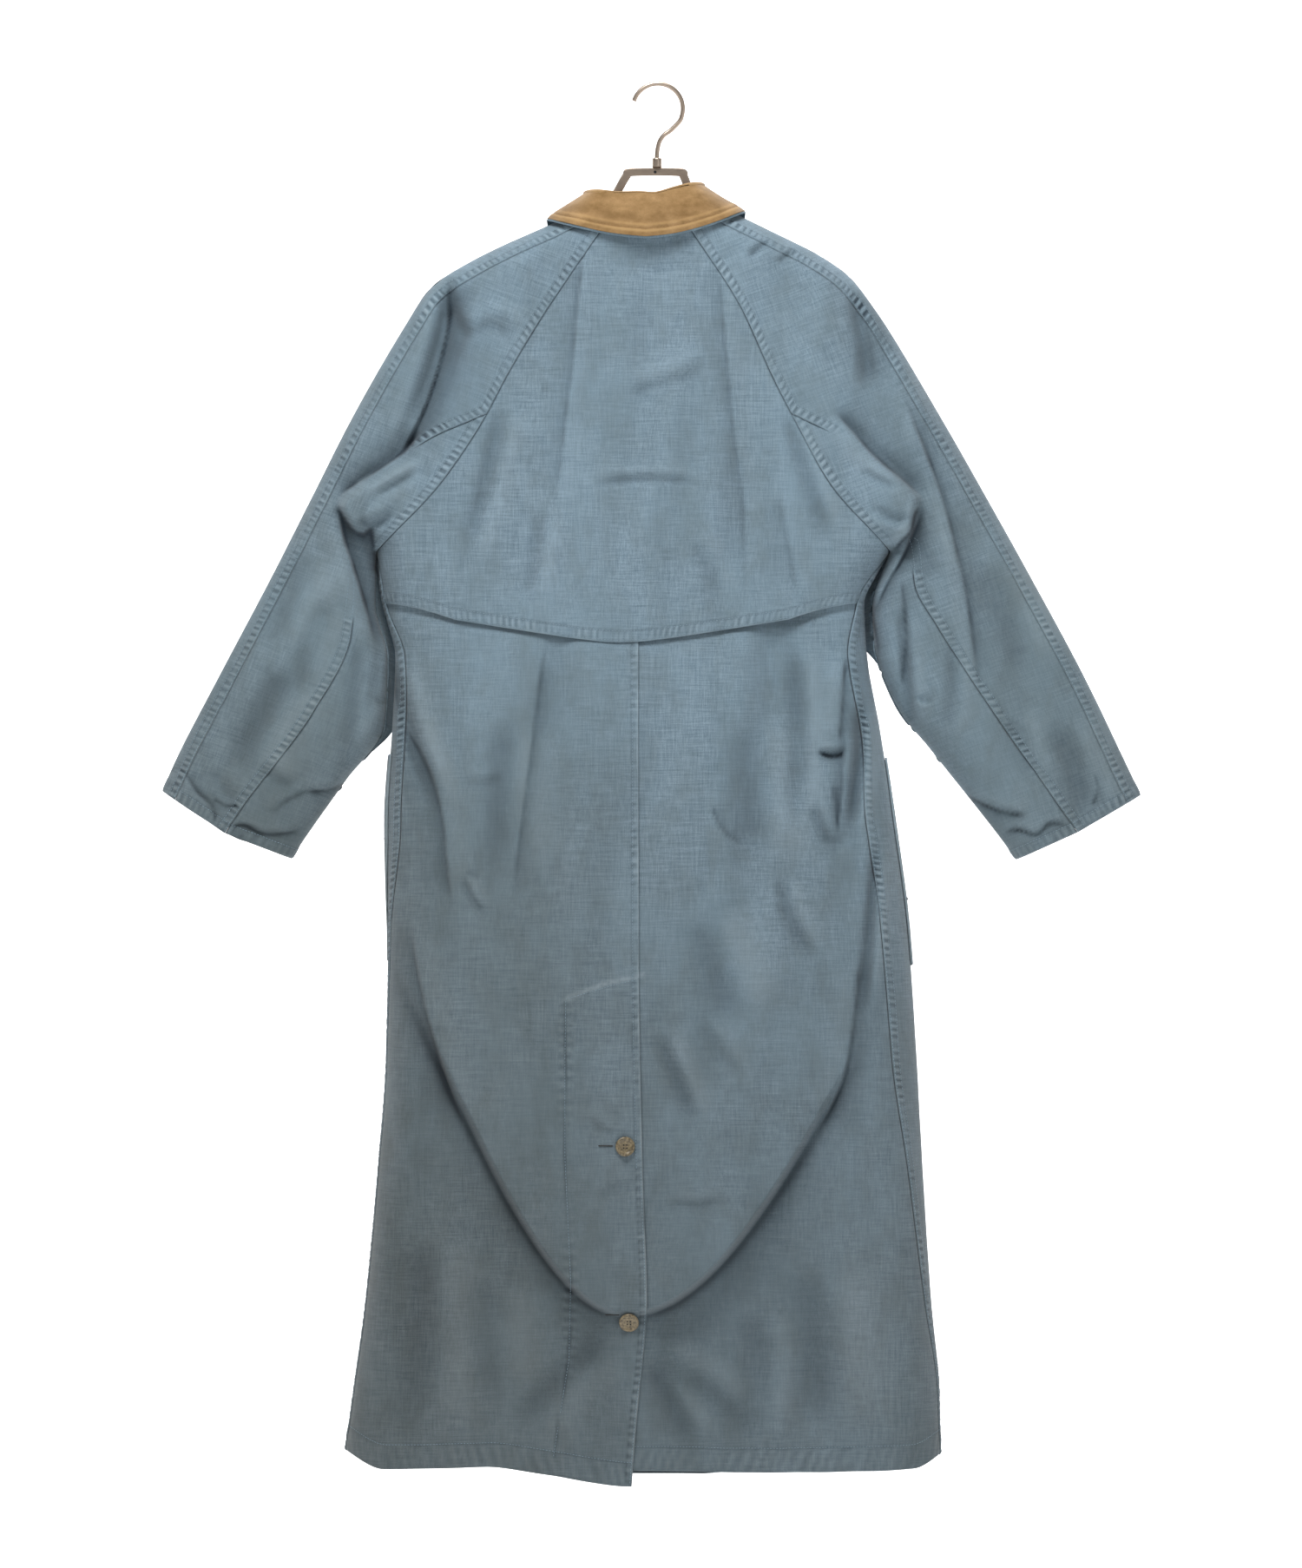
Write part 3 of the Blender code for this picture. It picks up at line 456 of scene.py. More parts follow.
# A crease runs from its start through its middle to its end. Its lip is a ridge beside it, on the left.
CREASES = columns(
    "face x0 drop0 x1 drop1 x2 drop2 width height lip",
    (-1, -267, 584, -250, 655, -213, 748, 9, -5.0, 2.5),
    (-1, -200, 706, -178, 710, -152, 703, 6, -1.0, 0.8),
    (-1, -196, 798, -188, 826, -170, 843, 5, -2.4, 1.2),
    (-1, 161, 675, 176, 679, 193, 674, 4, -3.4, 1.8),
    (-1, 158, 728, 166, 756, 181, 776, 6, -3.0, 1.6),
    (-1, 206, 622, 204, 690, 192, 776, 7, -6.0, 2.8),
    (-1, 222, 760, 216, 850, 206, 960, 6, -4.5, 2.0),
    (-1, 136, 560, 142, 660, 140, 770, 10, -3.5, 2.0),
    (-1, -12, 1290, 14, 1336, 40, 1388, 11, -3.5, 2.0),
    (-1, -10, 1284, 48, 1322, 101, 1368, 12, -3.0, 2.0),
    (-1, -48, 1262, -96, 1310, -150, 1372, 14, -3.0, 1.6),
    (-1, 258, 448, 272, 478, 282, 512, 13, -2.6, 1.0),
    (-1, 92, 177, 103, 168, 114, 161, 4, -2.0, 1.0),
    (-1, 122, 184, 132, 175, 143, 168, 4, -2.0, 1.0),
    (-1, -213, 226, -200, 246, -188, 263, 8, -2.6, 1.2),
    (-1, -188, 263, -166, 246, -142, 268, 9, -2.2, 1.0),
    (-1, -216, 204, -222, 268, -268, 384, 9, -6.0, -2.0),
    (-1, 196, 200, 210, 262, 214, 318, 9, -5.0, -2.0),
    (-1, -236, 372, -272, 392, -300, 412, 5, -1.5, 1.5),
    (-1, -304, 441, -286, 446, -258, 428, 6, -3.0, 1.6),
    (-1, -240, 392, -268, 408, -286, 416, 5, -1.8, 1.0),
    (-1, 206, 392, 226, 404, 246, 412, 5, -1.8, 1.0),
    (-1, 258, 436, 240, 442, 214, 424, 6, -2.6, 1.4),
    (-1, 246, 520, 252, 590, 262, 672, 6, -4.0, 2.0),
    (-1, 296, 560, 300, 620, 290, 660, 8, -2.4, 1.2),
    (-1, -330, 520, -352, 566, -372, 640, 12, -2.6, 1.4),
    (-1, -300, 560, -306, 620, -318, 700, 9, -3.0, 1.6),
    (-1, -280, 530, -284, 590, -296, 660, 7, -3.4, 1.6),
    (-1, -402, 690, -386, 706, -360, 716, 8, -2.0, 1.0),
    (-1, 356, 640, 372, 676, 380, 716, 10, -2.2, 1.2),
    (-1, -452, 690, -440, 716, -420, 735, 9, -1.6, 0.8),
    (-1, -2, 956, 20, 1008, 40, 1058, 8, -3.4, 2.4),
    (-1, 40, 950, 60, 976, 84, 1010, 8, -1.8, 1.2),
    (-1, 124, 796, 136, 850, 164, 888, 7, -2.8, 2.0),
    (-1, 10, 1131, 40, 1135, 74, 1128, 5, -1.8, 1.2),
    (-1, -72, 1050, -56, 1058, -40, 1064, 5, -1.4, 0.8),
    (-1, -66, 1128, -40, 1118, -20, 1116, 6, -1.2, 0.6),
    (-1, 40, 152, 4, 172, -60, 168, 16, -2.6, 0),
    (-1, 128, 330, 152, 400, 178, 476, 8, -2.8, 1.6),
    (-1, -156, 322, -172, 400, -196, 490, 9, -3.0, 1.8),
    (-1, -116, 430, -124, 480, -134, 530, 8, -2.4, 1.4),
    (-1, -70, 408, -8, 402, 52, 408, 5, -1.6, 1.0),
    (-1, -30, 318, 10, 306, 60, 286, 9, -1.6, 1.2),
    (-1, 30, 470, 50, 490, 58, 530, 9, -1.8, 1.2),
    (-1, -372, 593, -400, 640, -437, 708, 17, -4.2, 2.6),
    (-1, -350, 470, -372, 520, -398, 580, 15, -2.6, 2.4),
    (-1, 404, 640, 425, 700, 444, 748, 14, -3.5, 2.0),
    (-1, 330, 480, 352, 540, 380, 610, 16, -2.4, 2.2),
    (-1, 88, 640, 96, 720, 92, 800, 20, -3.0, 2.4),
    (-1, 40, 840, 60, 900, 84, 960, 18, -3.0, 2.4),
    (-1, -150, 640, -158, 720, -150, 830, 18, -3.2, 2.4),
    (-1, -240, 1160, -236, 1260, -250, 1380, 20, -3.4, 2.4),
    (-1, 150, 1190, 162, 1280, 170, 1380, 22, -3.2, 2.4),
    (-1, 96, 1240, 104, 1300, 96, 1376, 16, -2.4, 2.0),
    (-1, -166, 1200, -172, 1270, -160, 1350, 18, -2.4, 2.0),
    (1, -104, 236, -132, 380, -176, 520, 11, -6, 3),
    (1, 84, 250, 104, 400, 140, 512, 10, -5, 3),
    (1, -226, 470, -210, 640, -222, 800, 12, -6, 3),
    (1, 186, 520, 172, 680, 186, 850, 11, -6, 3),
    (1, -150, 700, -138, 860, -152, 1010, 14, -5, 3),
    (1, 110, 640, 122, 760, 116, 880, 9, -4, 2),
    (1, -60, 980, -72, 1180, -64, 1400, 15, -6, 3),
    (1, 66, 1040, 80, 1210, 84, 1400, 14, -6, 3),
    (1, -214, 1080, -226, 1240, -240, 1390, 16, -6, 3),
    (1, 176, 1010, 196, 1200, 214, 1390, 15, -6, 3),
    (1, 18, 560, 44, 580, 78, 574, 7, -2.5, 1.5),
    (1, -96, 640, -60, 652, -30, 646, 7, -2.5, 1.5),
    (1, -300, 440, -318, 520, -362, 610, 9, -5, 2.5),
    (1, 276, 430, 300, 520, 340, 610, 9, -5, 2.5),
    (1, -338, 560, -362, 640, -398, 700, 8, -4, 2),
    (1, 318, 560, 340, 640, 372, 700, 8, -4, 2),
    (1, -226, 250, -250, 330, -268, 400, 10, -4, 2),
    (1, 200, 250, 222, 330, 240, 400, 10, -4, 2),
)
chance = np.random.default_rng(11)
RIPPLES = {
    "across": chance.uniform(1 / 150, 1 / 48, 18) * chance.choice((-1, 1), 18),
    "down": chance.uniform(1 / 700, 1 / 190, 18),
    "phase": chance.uniform(0, 1, 18),
    "height": chance.uniform(0.4, 1.0, 18),
}


def ripples(x, z):
    """Low ripples of hanging cloth: a sum of slow waves, longer down than across."""
    phase = x[..., None] * RIPPLES["across"] - z[..., None] * RIPPLES["down"] + RIPPLES["phase"]
    return (RIPPLES["height"] * np.sin(2 * np.pi * phase)).sum(-1)


def creases(x, z, face):
    """The fine creases of one face, soft troughs with a lip, and the back's fold edges and seam rows."""
    total = np.zeros(x.shape)
    share = np.linspace(0, 1, 9)[:, None]
    for k in np.flatnonzero(CREASES["face"] == face):
        start, middle, end = (np.array([CREASES[f"x{i}"][k], -CREASES[f"drop{i}"][k]]) for i in range(3))
        pull = 2 * middle - (start + end) / 2
        line = (1 - share) ** 2 * start + 2 * share * (1 - share) * pull + share**2 * end
        width = CREASES["width"][k]
        near = within(line, 5 * width, x, z)
        away, place = beside(line, x[near], z[near])
        place = place / (len(line) - 1)
        trough = CREASES["height"][k] * hump(away, 0, width)
        ridge = CREASES["lip"][k] * hump(away, 1.8 * width, 1.3 * width)
        fade = ease(place / 0.25) * ease((1 - place) / 0.3)
        total[near] += CREASE_STRENGTH * (trough + ridge) * fade
    if face < 0:
        total += fold_edges(x, z)[0] + seam_rows(x, z)[0]
    return total


def curve_through(stations, at):
    """A smooth curve through stations: a cubic, its slope at each half the step between its neighbours."""
    padded = np.concatenate([2 * stations[:1] - stations[1:2], stations, 2 * stations[-1:] - stations[-2:-1]])
    k = np.minimum(at.astype(int), len(stations) - 2)
    t = (at - k).reshape(-1, *([1] * (stations.ndim - 1)))
    before, start, end, after = (padded[k + i] for i in range(4))
    slopes = (end - before) / 2, (after - start) / 2
    bent = t * t * (3 - 2 * t)
    return start + (end - start) * bent + slopes[0] * t * (1 - t) ** 2 - slopes[1] * t * t * (1 - t)


# A fold edge is a depth, a reach, a shade and a line of x and drop. The cloth on its left, going along, drops
# in beside it by the depth and comes back over the reach, and painted shade as strong as the shade darkens
# the line and the sunken cloth beside it.
FOLD_EDGES = (
    (11.0, 20.0, 0.6, (-215, 190), (-212, 222), (-214, 255), (-232, 318), (-254, 366), (-266, 386)),
    (9.0, 15.0, 0.7, (-325, 425), (-318, 416), (-300, 404), (-279, 391), (-258, 376),
     (-243, 360), (-236, 350)),
    (10.0, 9.0, 1.0, (-288, 447), (-298, 456), (-309, 449), (-318, 436), (-325, 425)),
    (6.0, 8.0, 0.9, (-284, 500), (-285, 478), (-287, 462), (-288, 447)),
    (8.0, 13.0, 0.9, (-324, 426), (-318, 460), (-308, 492), (-299, 522), (-292, 548), (-286, 572)),
    (5.0, 6.0, 0.6, (-286, 506), (-281, 532), (-271, 572), (-268, 602), (-264, 640)),
    (6.0, 8.0, 0.8, (-308, 703), (-322, 710), (-338, 715), (-357, 716)),
    (3.0, 8.0, 0.4, (-352, 714), (-375, 725), (-394, 739)),
    (5.0, 6.0, 0.9, (-358, 752), (-375, 758), (-400, 758), (-419, 750), (-438, 753)),
    (5.0, 5.0, 0.9, (-480, 698), (-468, 718), (-453, 734), (-448, 754)),
    (3.5, 5.0, 0.7, (-422, 730), (-437, 731), (-450, 723)),
    (3.0, 5.0, 0.4, (-498, 700), (-487, 695), (-476, 704)),
    (3.5, 5.0, 0.5, (-450, 772), (-432, 764), (-414, 770)),
    (4.5, 6.0, 0.9, (420, 753), (408, 748), (396, 749), (384, 759), (365, 755), (348, 760)),
    (4.0, 6.0, 0.5, (-288, 620), (-281, 632), (-272, 622)),
    (9.0, 16.0, 0.6, (176, 330), (198, 354), (214, 373), (232, 390), (249, 404), (262, 415), (272, 424)),
    (10.0, 8.0, 1.0, (267, 424), (260, 436), (256, 452), (246, 464), (236, 476)),
    (7.0, 9.0, 1.0, (268, 426), (262, 448), (246, 484), (236, 500), (226, 520), (218, 540)),
    (6.0, 8.0, 0.8, (214, 508), (218, 540), (222, 566), (224, 584)),
    (6.0, 12.0, 0.55, (246, 306), (258, 340), (275, 382), (290, 425), (302, 470),
     (313, 518), (322, 586), (328, 630)),
    (5.0, 8.0, 0.6, (246, 496), (250, 540), (251, 570), (246, 614)),
    (6.5, 8.0, 0.9, (377, 741), (360, 738), (344, 734), (330, 728), (312, 718)),
    (3.5, 6.0, 0.5, (442, 700), (446, 716), (440, 734)),
    (4.0, 5.0, 0.6, (262, 622), (272, 628), (282, 626)),
    (6.0, 12.0, 0.6, (190, 578), (187, 620), (183, 672)),
    (5.0, 6.0, 0.9, (191, 677), (178, 680), (164, 677)),
    (4.0, 10.0, 0.4, (176, 706), (180, 740), (184, 778)),
    (4.0, 9.0, 0.35, (52, 732), (68, 760), (86, 774)),
    (6.5, 18.0, 0.35, (-206, 840), (-212, 786), (-217, 740), (-232, 690), (-262, 640)),
    (3.0, 8.0, 0.3, (-194, 800), (-180, 808)),
    (3.6, 15.0, 0.3, (-108, 440), (-99, 404), (-92, 345), (-85, 293), (-80, 234), (-74, 178), (-71, 150)),
    (3.4, 15.0, 0.28, (93, 520), (90, 485), (88, 421), (80, 362), (69, 251), (65, 200), (62, 165)),
    (3.0, 12.0, 0.2, (146, 530), (141, 500), (129, 442), (122, 410)),
    (5.0, 14.0, 0.35, (-112, 556), (-120, 613), (-128, 681), (-142, 783), (-148, 840)),
    (5.0, 13.0, 0.4, (181, 792), (184, 752), (189, 700), (191, 650)),
    (6.0, 18.0, 0.4, (203, 880), (201, 919), (197, 960), (190, 1000), (178, 1032), (158, 1066)),
    (6.0, 18.0, 0.35, (-193, 1060), (-215, 998), (-232, 941), (-243, 888), (-249, 840)),
)
# A seam row is a tone, below 0 where it is light, and a line of x and drop.
SEAM_ROWS = (
    (-0.55, (-14, 903), (-54, 912), (-92, 927)),
    (0.5, (-92, 927), (-93, 1086), (-87, 1209), (-89, 1292), (-105, 1392)),
)


def fold_edges(x, z):
    """The height that the fold edges give places on the back, and the shade painted along them."""
    height = np.zeros(x.shape)
    dark = np.zeros(x.shape)
    for depth, reach, shade, *places in FOLD_EDGES:
        line = np.array(places) * (1, -1)
        line = curve_through(line, np.linspace(0, len(line) - 1, 4 * len(line)))
        near = within(line, 5 * reach, x, z)
        away, place = beside(line, x[near], z[near])
        way = passed(line)
        along = np.interp(place, np.arange(len(line)), way)
        fade = ease(along / (0.2 * way[-1])) * ease((way[-1] - along) / (0.2 * way[-1]))
        inside = np.maximum(away, 0)
        sunk = ease((away + 1.5) / 4) * np.exp(-inside / reach)
        swell = 0.3 * hump(away, -0.7 * reach, 0.6 * reach)
        height[near] += depth * fade * (swell - sunk)
        # Painted shade: a dark line along the edge, uneven along it, and a painted shadow over the sunken
        # cloth beside it.
        uneven = 0.55 + 0.45 * np.sin(along / 17 + depth) * np.sin(along / 7.3 + reach)
        shadow = 0.55 * ease(away / 3) * np.exp(-inside / (0.6 * reach))
        dark[near] += shade * fade * (0.8 * uneven * hump(away, 1.2, 1.8) + shadow)
    return height, dark


def seam_rows(x, z):
    """The groove of a row of stitches, with small puckers beside a dark one, and how dark it makes places."""
    height = np.zeros(x.shape)
    dark = np.zeros(x.shape)
    for tone, *places in SEAM_ROWS:
        line = np.array(places) * (1.0, -1.0)
        away, place = beside(line, x, z)
        along = np.interp(place, np.arange(len(line)), passed(line))
        far = np.abs(away)
        pucker = np.sin(2 * np.pi * along / 10.5 + 2 * np.sin(along / 27)) * (0.5 + 0.5 * np.sin(along / 38))
        window = ease(far / 1.5) * (1 - ease((far - 4) / 6)) * (tone > 0)
        height += 0.45 * pucker * window - tone * hump(far, 0, 1.4)
        dark += tone * hump(far, 0, 1.1 + (tone < 0)) - 0.25 * pucker * window
    return height, dark


def back_depth(x, z, region):
    """The y of the back's outer face."""
    full, share = fullness(x, z, region)
    relief = fold_heights(x, z, -1) + pouch(x, z) + creases(x, z, -1) + ripples(x, z)
    if region == "body":
        relief = relief + drape(x, z)
    return -(full + share * relief)


def front_depth(x, z, region):
    """The y of the front's outer face."""
    full, share = fullness(x, z, region)
    return FRONT_SHARE * full + share * (fold_heights(x, z, 1) + creases(x, z, 1) + ripples(x, z))


def placed(x, z, face, region):
    """Points of the cloth over the XZ plane: on the back where face is -1, on the front where it is 1."""
    x, z, face = np.broadcast_arrays(x, z, face)
    y = np.where(face < 0, back_depth(x, z, region), front_depth(x, z, region))
    return np.stack([x, y, z], axis=-1)


def arc(offset, radius):
    """The way along the roll from the outline to a place that far in from it."""
    turned = radius * np.arccos(np.clip(1 - offset / radius, -1, 1))
    return np.where(offset < radius, turned, radius * np.pi / 2 + offset - radius)


def unrolled(way, radius):
    """How far in from the outline a place is, that far along the roll."""
    quarter = radius * np.pi / 2
    turned = radius * (1 - np.cos(np.minimum(way / radius, np.pi)))
    return np.where(way < quarter, turned, radius + way - quarter)


def cape_sag(share):
    """How far the cape's hem hangs below its sides, over its width: a rounded point."""
    return CAPE_SAG * (1.14 - np.sqrt((2 * share - 1) ** 2 + 0.02))


def cape(u, v):
    """Across from raglan seam to raglan seam, down from the neck to the pointed hem."""
    edge_drop = NECK_DROP + v * (CAPE_SIDE_DROP - NECK_DROP)
    share = 0.5 - 0.5 * np.cos(np.pi * u)
    middle = np.clip(8 * share * (1 - share), 0, 1)
    sag = cape_sag(share) * ease(v) ** 1.5
    left, right = (
        np.where(
            edge_drop < UNDERARM_DROP,
            raglan[side](edge_drop),
            body_edge[side](edge_drop) + turn * wrap[side](edge_drop),
        )
        for side, turn in SIDES.items()
    )
    point = placed(left + (right - left) * share, -(edge_drop + sag * middle), -1, "body")
    lifted = 6 * hump(point[..., 0], -101, 16) + 8 * hump(point[..., 0], 128, 26)
    point[..., 1] -= CAPE_FLARE * ease((v - 0.7) / 0.3) * middle + lifted * ease((v - 0.86) / 0.14)
    return point


def cape_hem_drop(x):
    """The drop of the cape's hem at x across the back."""
    low, high = BODY_EDGES["left"][1], BODY_EDGES["right"][1]
    return CAPE_SIDE_DROP + cape_sag(np.clip((x - low) / (high - low), 0, 1))


def back_drop(v, x, hem):
    """Rows of the back pieces: even above the big drape fold, close together across it and even below it."""
    first, last = FOLD_ROWS
    fold = DRAPE_DROP - drape_curve(x)[0]
    above = BACK_TOP_DROP + (fold - FOLD_HALF - BACK_TOP_DROP) * v / first
    across = fold - FOLD_HALF + 2 * FOLD_HALF * (v - first) / (last - first)
    below = fold + FOLD_HALF + (hem - fold - FOLD_HALF) * (v - last) / (1 - last)
    return np.where(v < first, above, np.where(v < last, across, below))


def seam_way(side, drop):
    """The side seam's place round the roll, from the outline towards the back."""
    return arc(wrap[side](drop), roll_radius(drop))


def tucked(x, z):
    """How far a back piece lies in under the cape, which ends at the cape's hem."""
    return CAPE_TUCK * ease((z + cape_hem_drop(x) + 8) / 11)


def back(side, u, v):
    """Across from the side seam to the centre back and on under the lap, down from the cape to the hem."""
    turn = SIDES[side]
    lapped = np.clip((u - LAP_START) / (1 - LAP_START), 0, 1)
    x = (-300.0 if side == "left" else 270.0) + turn * 280 * u
    for _ in range(8):
        drop = back_drop(v, x, back_hem[side](x))
        radius = roll_radius(drop)
        lap = np.interp(drop, (VENT_TOP_DROP, VENT_TOP_DROP + 24), (UNDERLAP_NARROW, UNDERLAP_WIDE))
        near = centre_back(drop) - (UNDERLAP_WIDE if side == "left" else 0)
        start = seam_way(side, drop)
        end = arc(turn * (near - body_edge[side](drop)), radius)
        way = start + (end - start) * np.minimum(u / LAP_START, 1)
        beyond = lapped * (UNDERLAP_WIDE if side == "left" else lap)
        x = body_edge[side](drop) + turn * (unrolled(np.maximum(way, 0), radius) + beyond)
    point = placed(x, -drop, -1, "body")
    if side == "left":
        point[..., 1] -= LAP_LIFT * ease((x - centre_back(drop) + 112) / 22)
    else:
        below = ease((drop - VENT_TOP_DROP + 70) / 40)
        point[..., 1] += UNDERLAP_SINK * below * ease((centre_back(drop) - x) / 6)
    point[..., 1] += tucked(x, -drop)
    return point


def front_lap(side, x):
    """How far the left front is raised where it laps over the right one."""
    return LAP_LIFT * ease((x - NECK_CENTRE + FRONT_LAP + 20) / 16) * (side == "left")


def front(side, u, drop_side):
    """Across from the side seam or raglan seam to the front edge, down from the neck to the hem."""
    turn = SIDES[side]
    hem_side = back_hem[side](body_edge[side](SIDE_HEM_DROP))
    share = (drop_side - FRONT_RAGLAN_DROP) / (hem_side - FRONT_RAGLAN_DROP)
    middle_drop = FRONT_NECK_DROP + share * (FRONT_HEM_DROP - FRONT_NECK_DROP)
    drop = drop_side + (middle_drop - drop_side) * np.minimum(u / FRONT_LEVEL, 1)
    above = drop_side < UNDERARM_DROP
    edge = np.where(above, body_edge[side](UNDERARM_DROP), body_edge[side](np.maximum(drop, UNDERARM_DROP)))
    radius = roll_radius(drop)
    on_front = -arc(turn * (front_raglan[side](drop_side) - edge), radius)
    start = np.where(above, on_front, seam_way(side, np.maximum(drop_side, UNDERARM_DROP)))
    end = -arc(turn * (NECK_CENTRE - edge) + FRONT_LAP, radius)
    way = start + (end - start) * u
    x = edge + turn * unrolled(np.abs(way), radius)
    point = placed(x, -drop, np.where(way > 0, -1, 1), "body")
    point[..., 1] += front_lap(side, x)
    return point


def inner_end(side, v, seam_at):
    """The sleeve's inner border: down the raglan seam to the underarm, then the inner edge to the cuff."""
    top = NECK_DROP if seam_at is raglan else FRONT_RAGLAN_DROP
    drop = np.where(
        v < JUNCTION_ROW,
        top + (JUNCTION_DROP - top) * v / JUNCTION_ROW,
        JUNCTION_DROP + ARMHOLE_DEPTH * (v - JUNCTION_ROW) / (UNDERARM_ROW - JUNCTION_ROW),
    )
    edge = inner[side]((v - UNDERARM_ROW) / (1 - UNDERARM_ROW))
    above = v < UNDERARM_ROW
    return np.where(above, seam_at[side](drop), edge[0]), np.where(above, -drop, edge[1])


def sleeve_seam_row(side, v):
    """The inner border of the back sleeve: the raglan seam, then the seam down the back of the sleeve."""
    above = inner_end(side, v, raglan)
    below = sleeve_seam[side]((v - JUNCTION_ROW) / (1 - JUNCTION_ROW))
    return np.where(v < JUNCTION_ROW, above[0], below[0]), np.where(v < JUNCTION_ROW, above[1], below[1])


def between(start, end, share):
    """Places a share of the way from one place in the XZ plane to another."""
    return start[0] + (end[0] - start[0]) * share, start[1] + (end[1] - start[1]) * share


def sleeve_back(side, u, v):
    """Across from the overarm seam to the raglan and sleeve seams, down from the neck to the cuff."""
    ridge, seam = outer[side](v), sleeve_seam_row(side, v)
    inset = OVERARM_IN / np.hypot(seam[0] - ridge[0], seam[1] - ridge[1])
    return placed(*between(ridge, seam, inset + (1 - inset) * u), -1, side)


def sleeve_under(side, u, v):
    """Across from the back sleeve seam to the armhole and the inner edge, down to the cuff."""
    share = u + (np.sin(0.5 * np.pi * u) - u) * ease((v - UNDERARM_ROW) / 0.1)
    return placed(*between(sleeve_seam_row(side, v), inner_end(side, v, raglan), share), -1, side)


# How far the front sleeve's inner edge is drawn in behind the body, and the drop at which that ends.
BEHIND_BODY = {"left": (9.0, 650.0), "right": (15.0, 560.0)}


def sleeve_front(side, u, v):
    """Across from the overarm seam, round the outer edge and over the front to armhole and inner edge."""
    ridge, seam = outer[side](v), sleeve_seam_row(side, v)
    far_x, far_z = inner_end(side, v, front_raglan)
    reach, foot = BEHIND_BODY[side]
    behind_body = reach * ease((-far_z - UNDERARM_DROP + 25) / 30) * (1 - ease((-far_z - foot) / 30))
    far = far_x + SIDES[side] * behind_body, far_z
    radius = roll_radius(-ridge[1])
    start = arc(np.full(np.shape(u), OVERARM_IN), radius)
    width = np.hypot(seam[0] - ridge[0], seam[1] - ridge[1])
    behind = unrolled(start * np.clip(1 - u / OVERARM_STRIP, 0, 1), radius) / width
    ahead = np.clip((u - OVERARM_STRIP) / (1 - OVERARM_STRIP), 0, 1)
    rounded = ease((v - UNDERARM_ROW) / 0.1)
    open_share = 1 - np.cos(0.5 * np.pi * ahead)
    share = open_share + rounded * (0.5 - 0.5 * np.cos(np.pi * ahead) - open_share)
    x, z = between(ridge, far, share)
    back_x, back_z = between(ridge, seam, behind)
    on_back = u < OVERARM_STRIP
    return placed(np.where(on_back, back_x, x), np.where(on_back, back_z, z), np.where(on_back, -1, 1), side)


def neck_place(turn):
    """The neck edge in the XZ plane. Turn runs from -1, left front, round the back at 0 to 1, right front."""
    reach = np.sin(np.pi * turn)
    ridge = np.where(turn < 0, OUTER_EDGES["left_drop"][0], OUTER_EDGES["right_drop"][0])
    out = np.abs(reach)
    back_seam, front_seam = NECK_RAGLAN
    at_back = NECK_DROP + (ridge - NECK_DROP) * np.clip((out - back_seam) / (1 - back_seam), 0, 1)
    on_sleeve = FRONT_RAGLAN_DROP + (ridge - FRONT_RAGLAN_DROP) * (out - front_seam) / (1 - front_seam)
    on_front = FRONT_NECK_DROP + (FRONT_RAGLAN_DROP - FRONT_NECK_DROP) * out / front_seam
    at_front = np.where(out > front_seam, on_sleeve, on_front)
    return NECK_CENTRE + NECK_REACH * reach, -np.where(np.abs(turn) < 0.5, at_back, at_front)


def collar_grid(turn, part):
    """The folded collar: up its stand from the neck edge, over the fold and down its fall, parts 0 to 8."""
    face = np.where(np.abs(turn) <= 0.5, -1, 1)
    to_front = np.clip((np.abs(turn) - 0.5) / 0.5, 0, 1)
    sideways, backwards = np.sin(np.pi * turn), np.cos(np.pi * turn)
    out = np.stack([sideways, -backwards, 0 * turn], axis=-1)
    forwards = np.where(face < 0, -backwards, np.minimum(5 * to_front, 1))
    lift = np.stack([0.43 * sideways, forwards, 0.9 * np.abs(sideways)], axis=-1)
    x, z = neck_place(turn)
    foot = placed(x, z, face, "body") - 0.65 * out
    foot[..., 2] += 0.6 + 0.8 * np.minimum(2 * to_front, 1)
    foot[..., 1] += np.where(turn < -0.5, front_lap("left", x), 0)
    top_drop = 114 - 2.5 * sideways**2 - 3 * sideways + 88 * to_front**1.2
    lean = np.where(face < 0, 0.86, 0.86 * (0.4 + 0.6 * np.minimum(-1.8 * backwards, 1)))
    top = np.stack([-13 + 58 * sideways, lean * foot[..., 1], -top_drop], axis=-1)
    corner = np.where(turn < 0, 141.6, 133.8)
    fall_drop = np.where(face < 0, 156 + (corner - 156) * sideways**2, corner + 147 * to_front**1.2)
    fall_reach = np.where(face < 0, 97 * sideways, np.sign(turn) * (97 - 40 * to_front**1.5))
    fall = placed(NECK_CENTRE + fall_reach, -fall_drop, face, "body") + 6.5 * lift
    up = np.array([0.0, 0.0, 1.0])
    bend = (3.4 + 3.4 * np.minimum(4 * to_front, 1))[..., None]
    round_top = [top + bend * (np.sin(a) * up - np.cos(a) * out) for a in np.radians((0, 45, 90, 135, 180))]
    stations = [foot, (foot + round_top[0]) / 2, *round_top, (round_top[4] + fall) / 2 + 1.0 * lift, fall]
    return np.stack(stations)[part]


def surface_place(x, drop, face, lift):
    """A place on the body's face where a button clears the cloth by a lift, and the way out from it."""
    angle = np.radians(np.arange(0, 360, 30))
    spots_x = x + BUTTON_RADIUS * np.append(0, np.cos(angle))
    spots_z = -drop + BUTTON_RADIUS * np.append(0, np.sin(angle))
    point = placed(spots_x, spots_z, face, "body")
    out = unit(np.cross(point[1] - point[7], point[10] - point[4]) * face)
    return point[0] + (lift + ((point - point[0]) @ out).max()) * out, out


# Materials
def srgb(red, green, blue):
    """A colour read off in the usual 0 to 255 steps, as linear light with full alpha."""
    part = np.array([red, green, blue]) / 255
    linear = np.where(part <= 0.04045, part / 12.92, ((part + 0.055) / 1.055) ** 2.4)
    return (*linear.tolist(), 1.0)


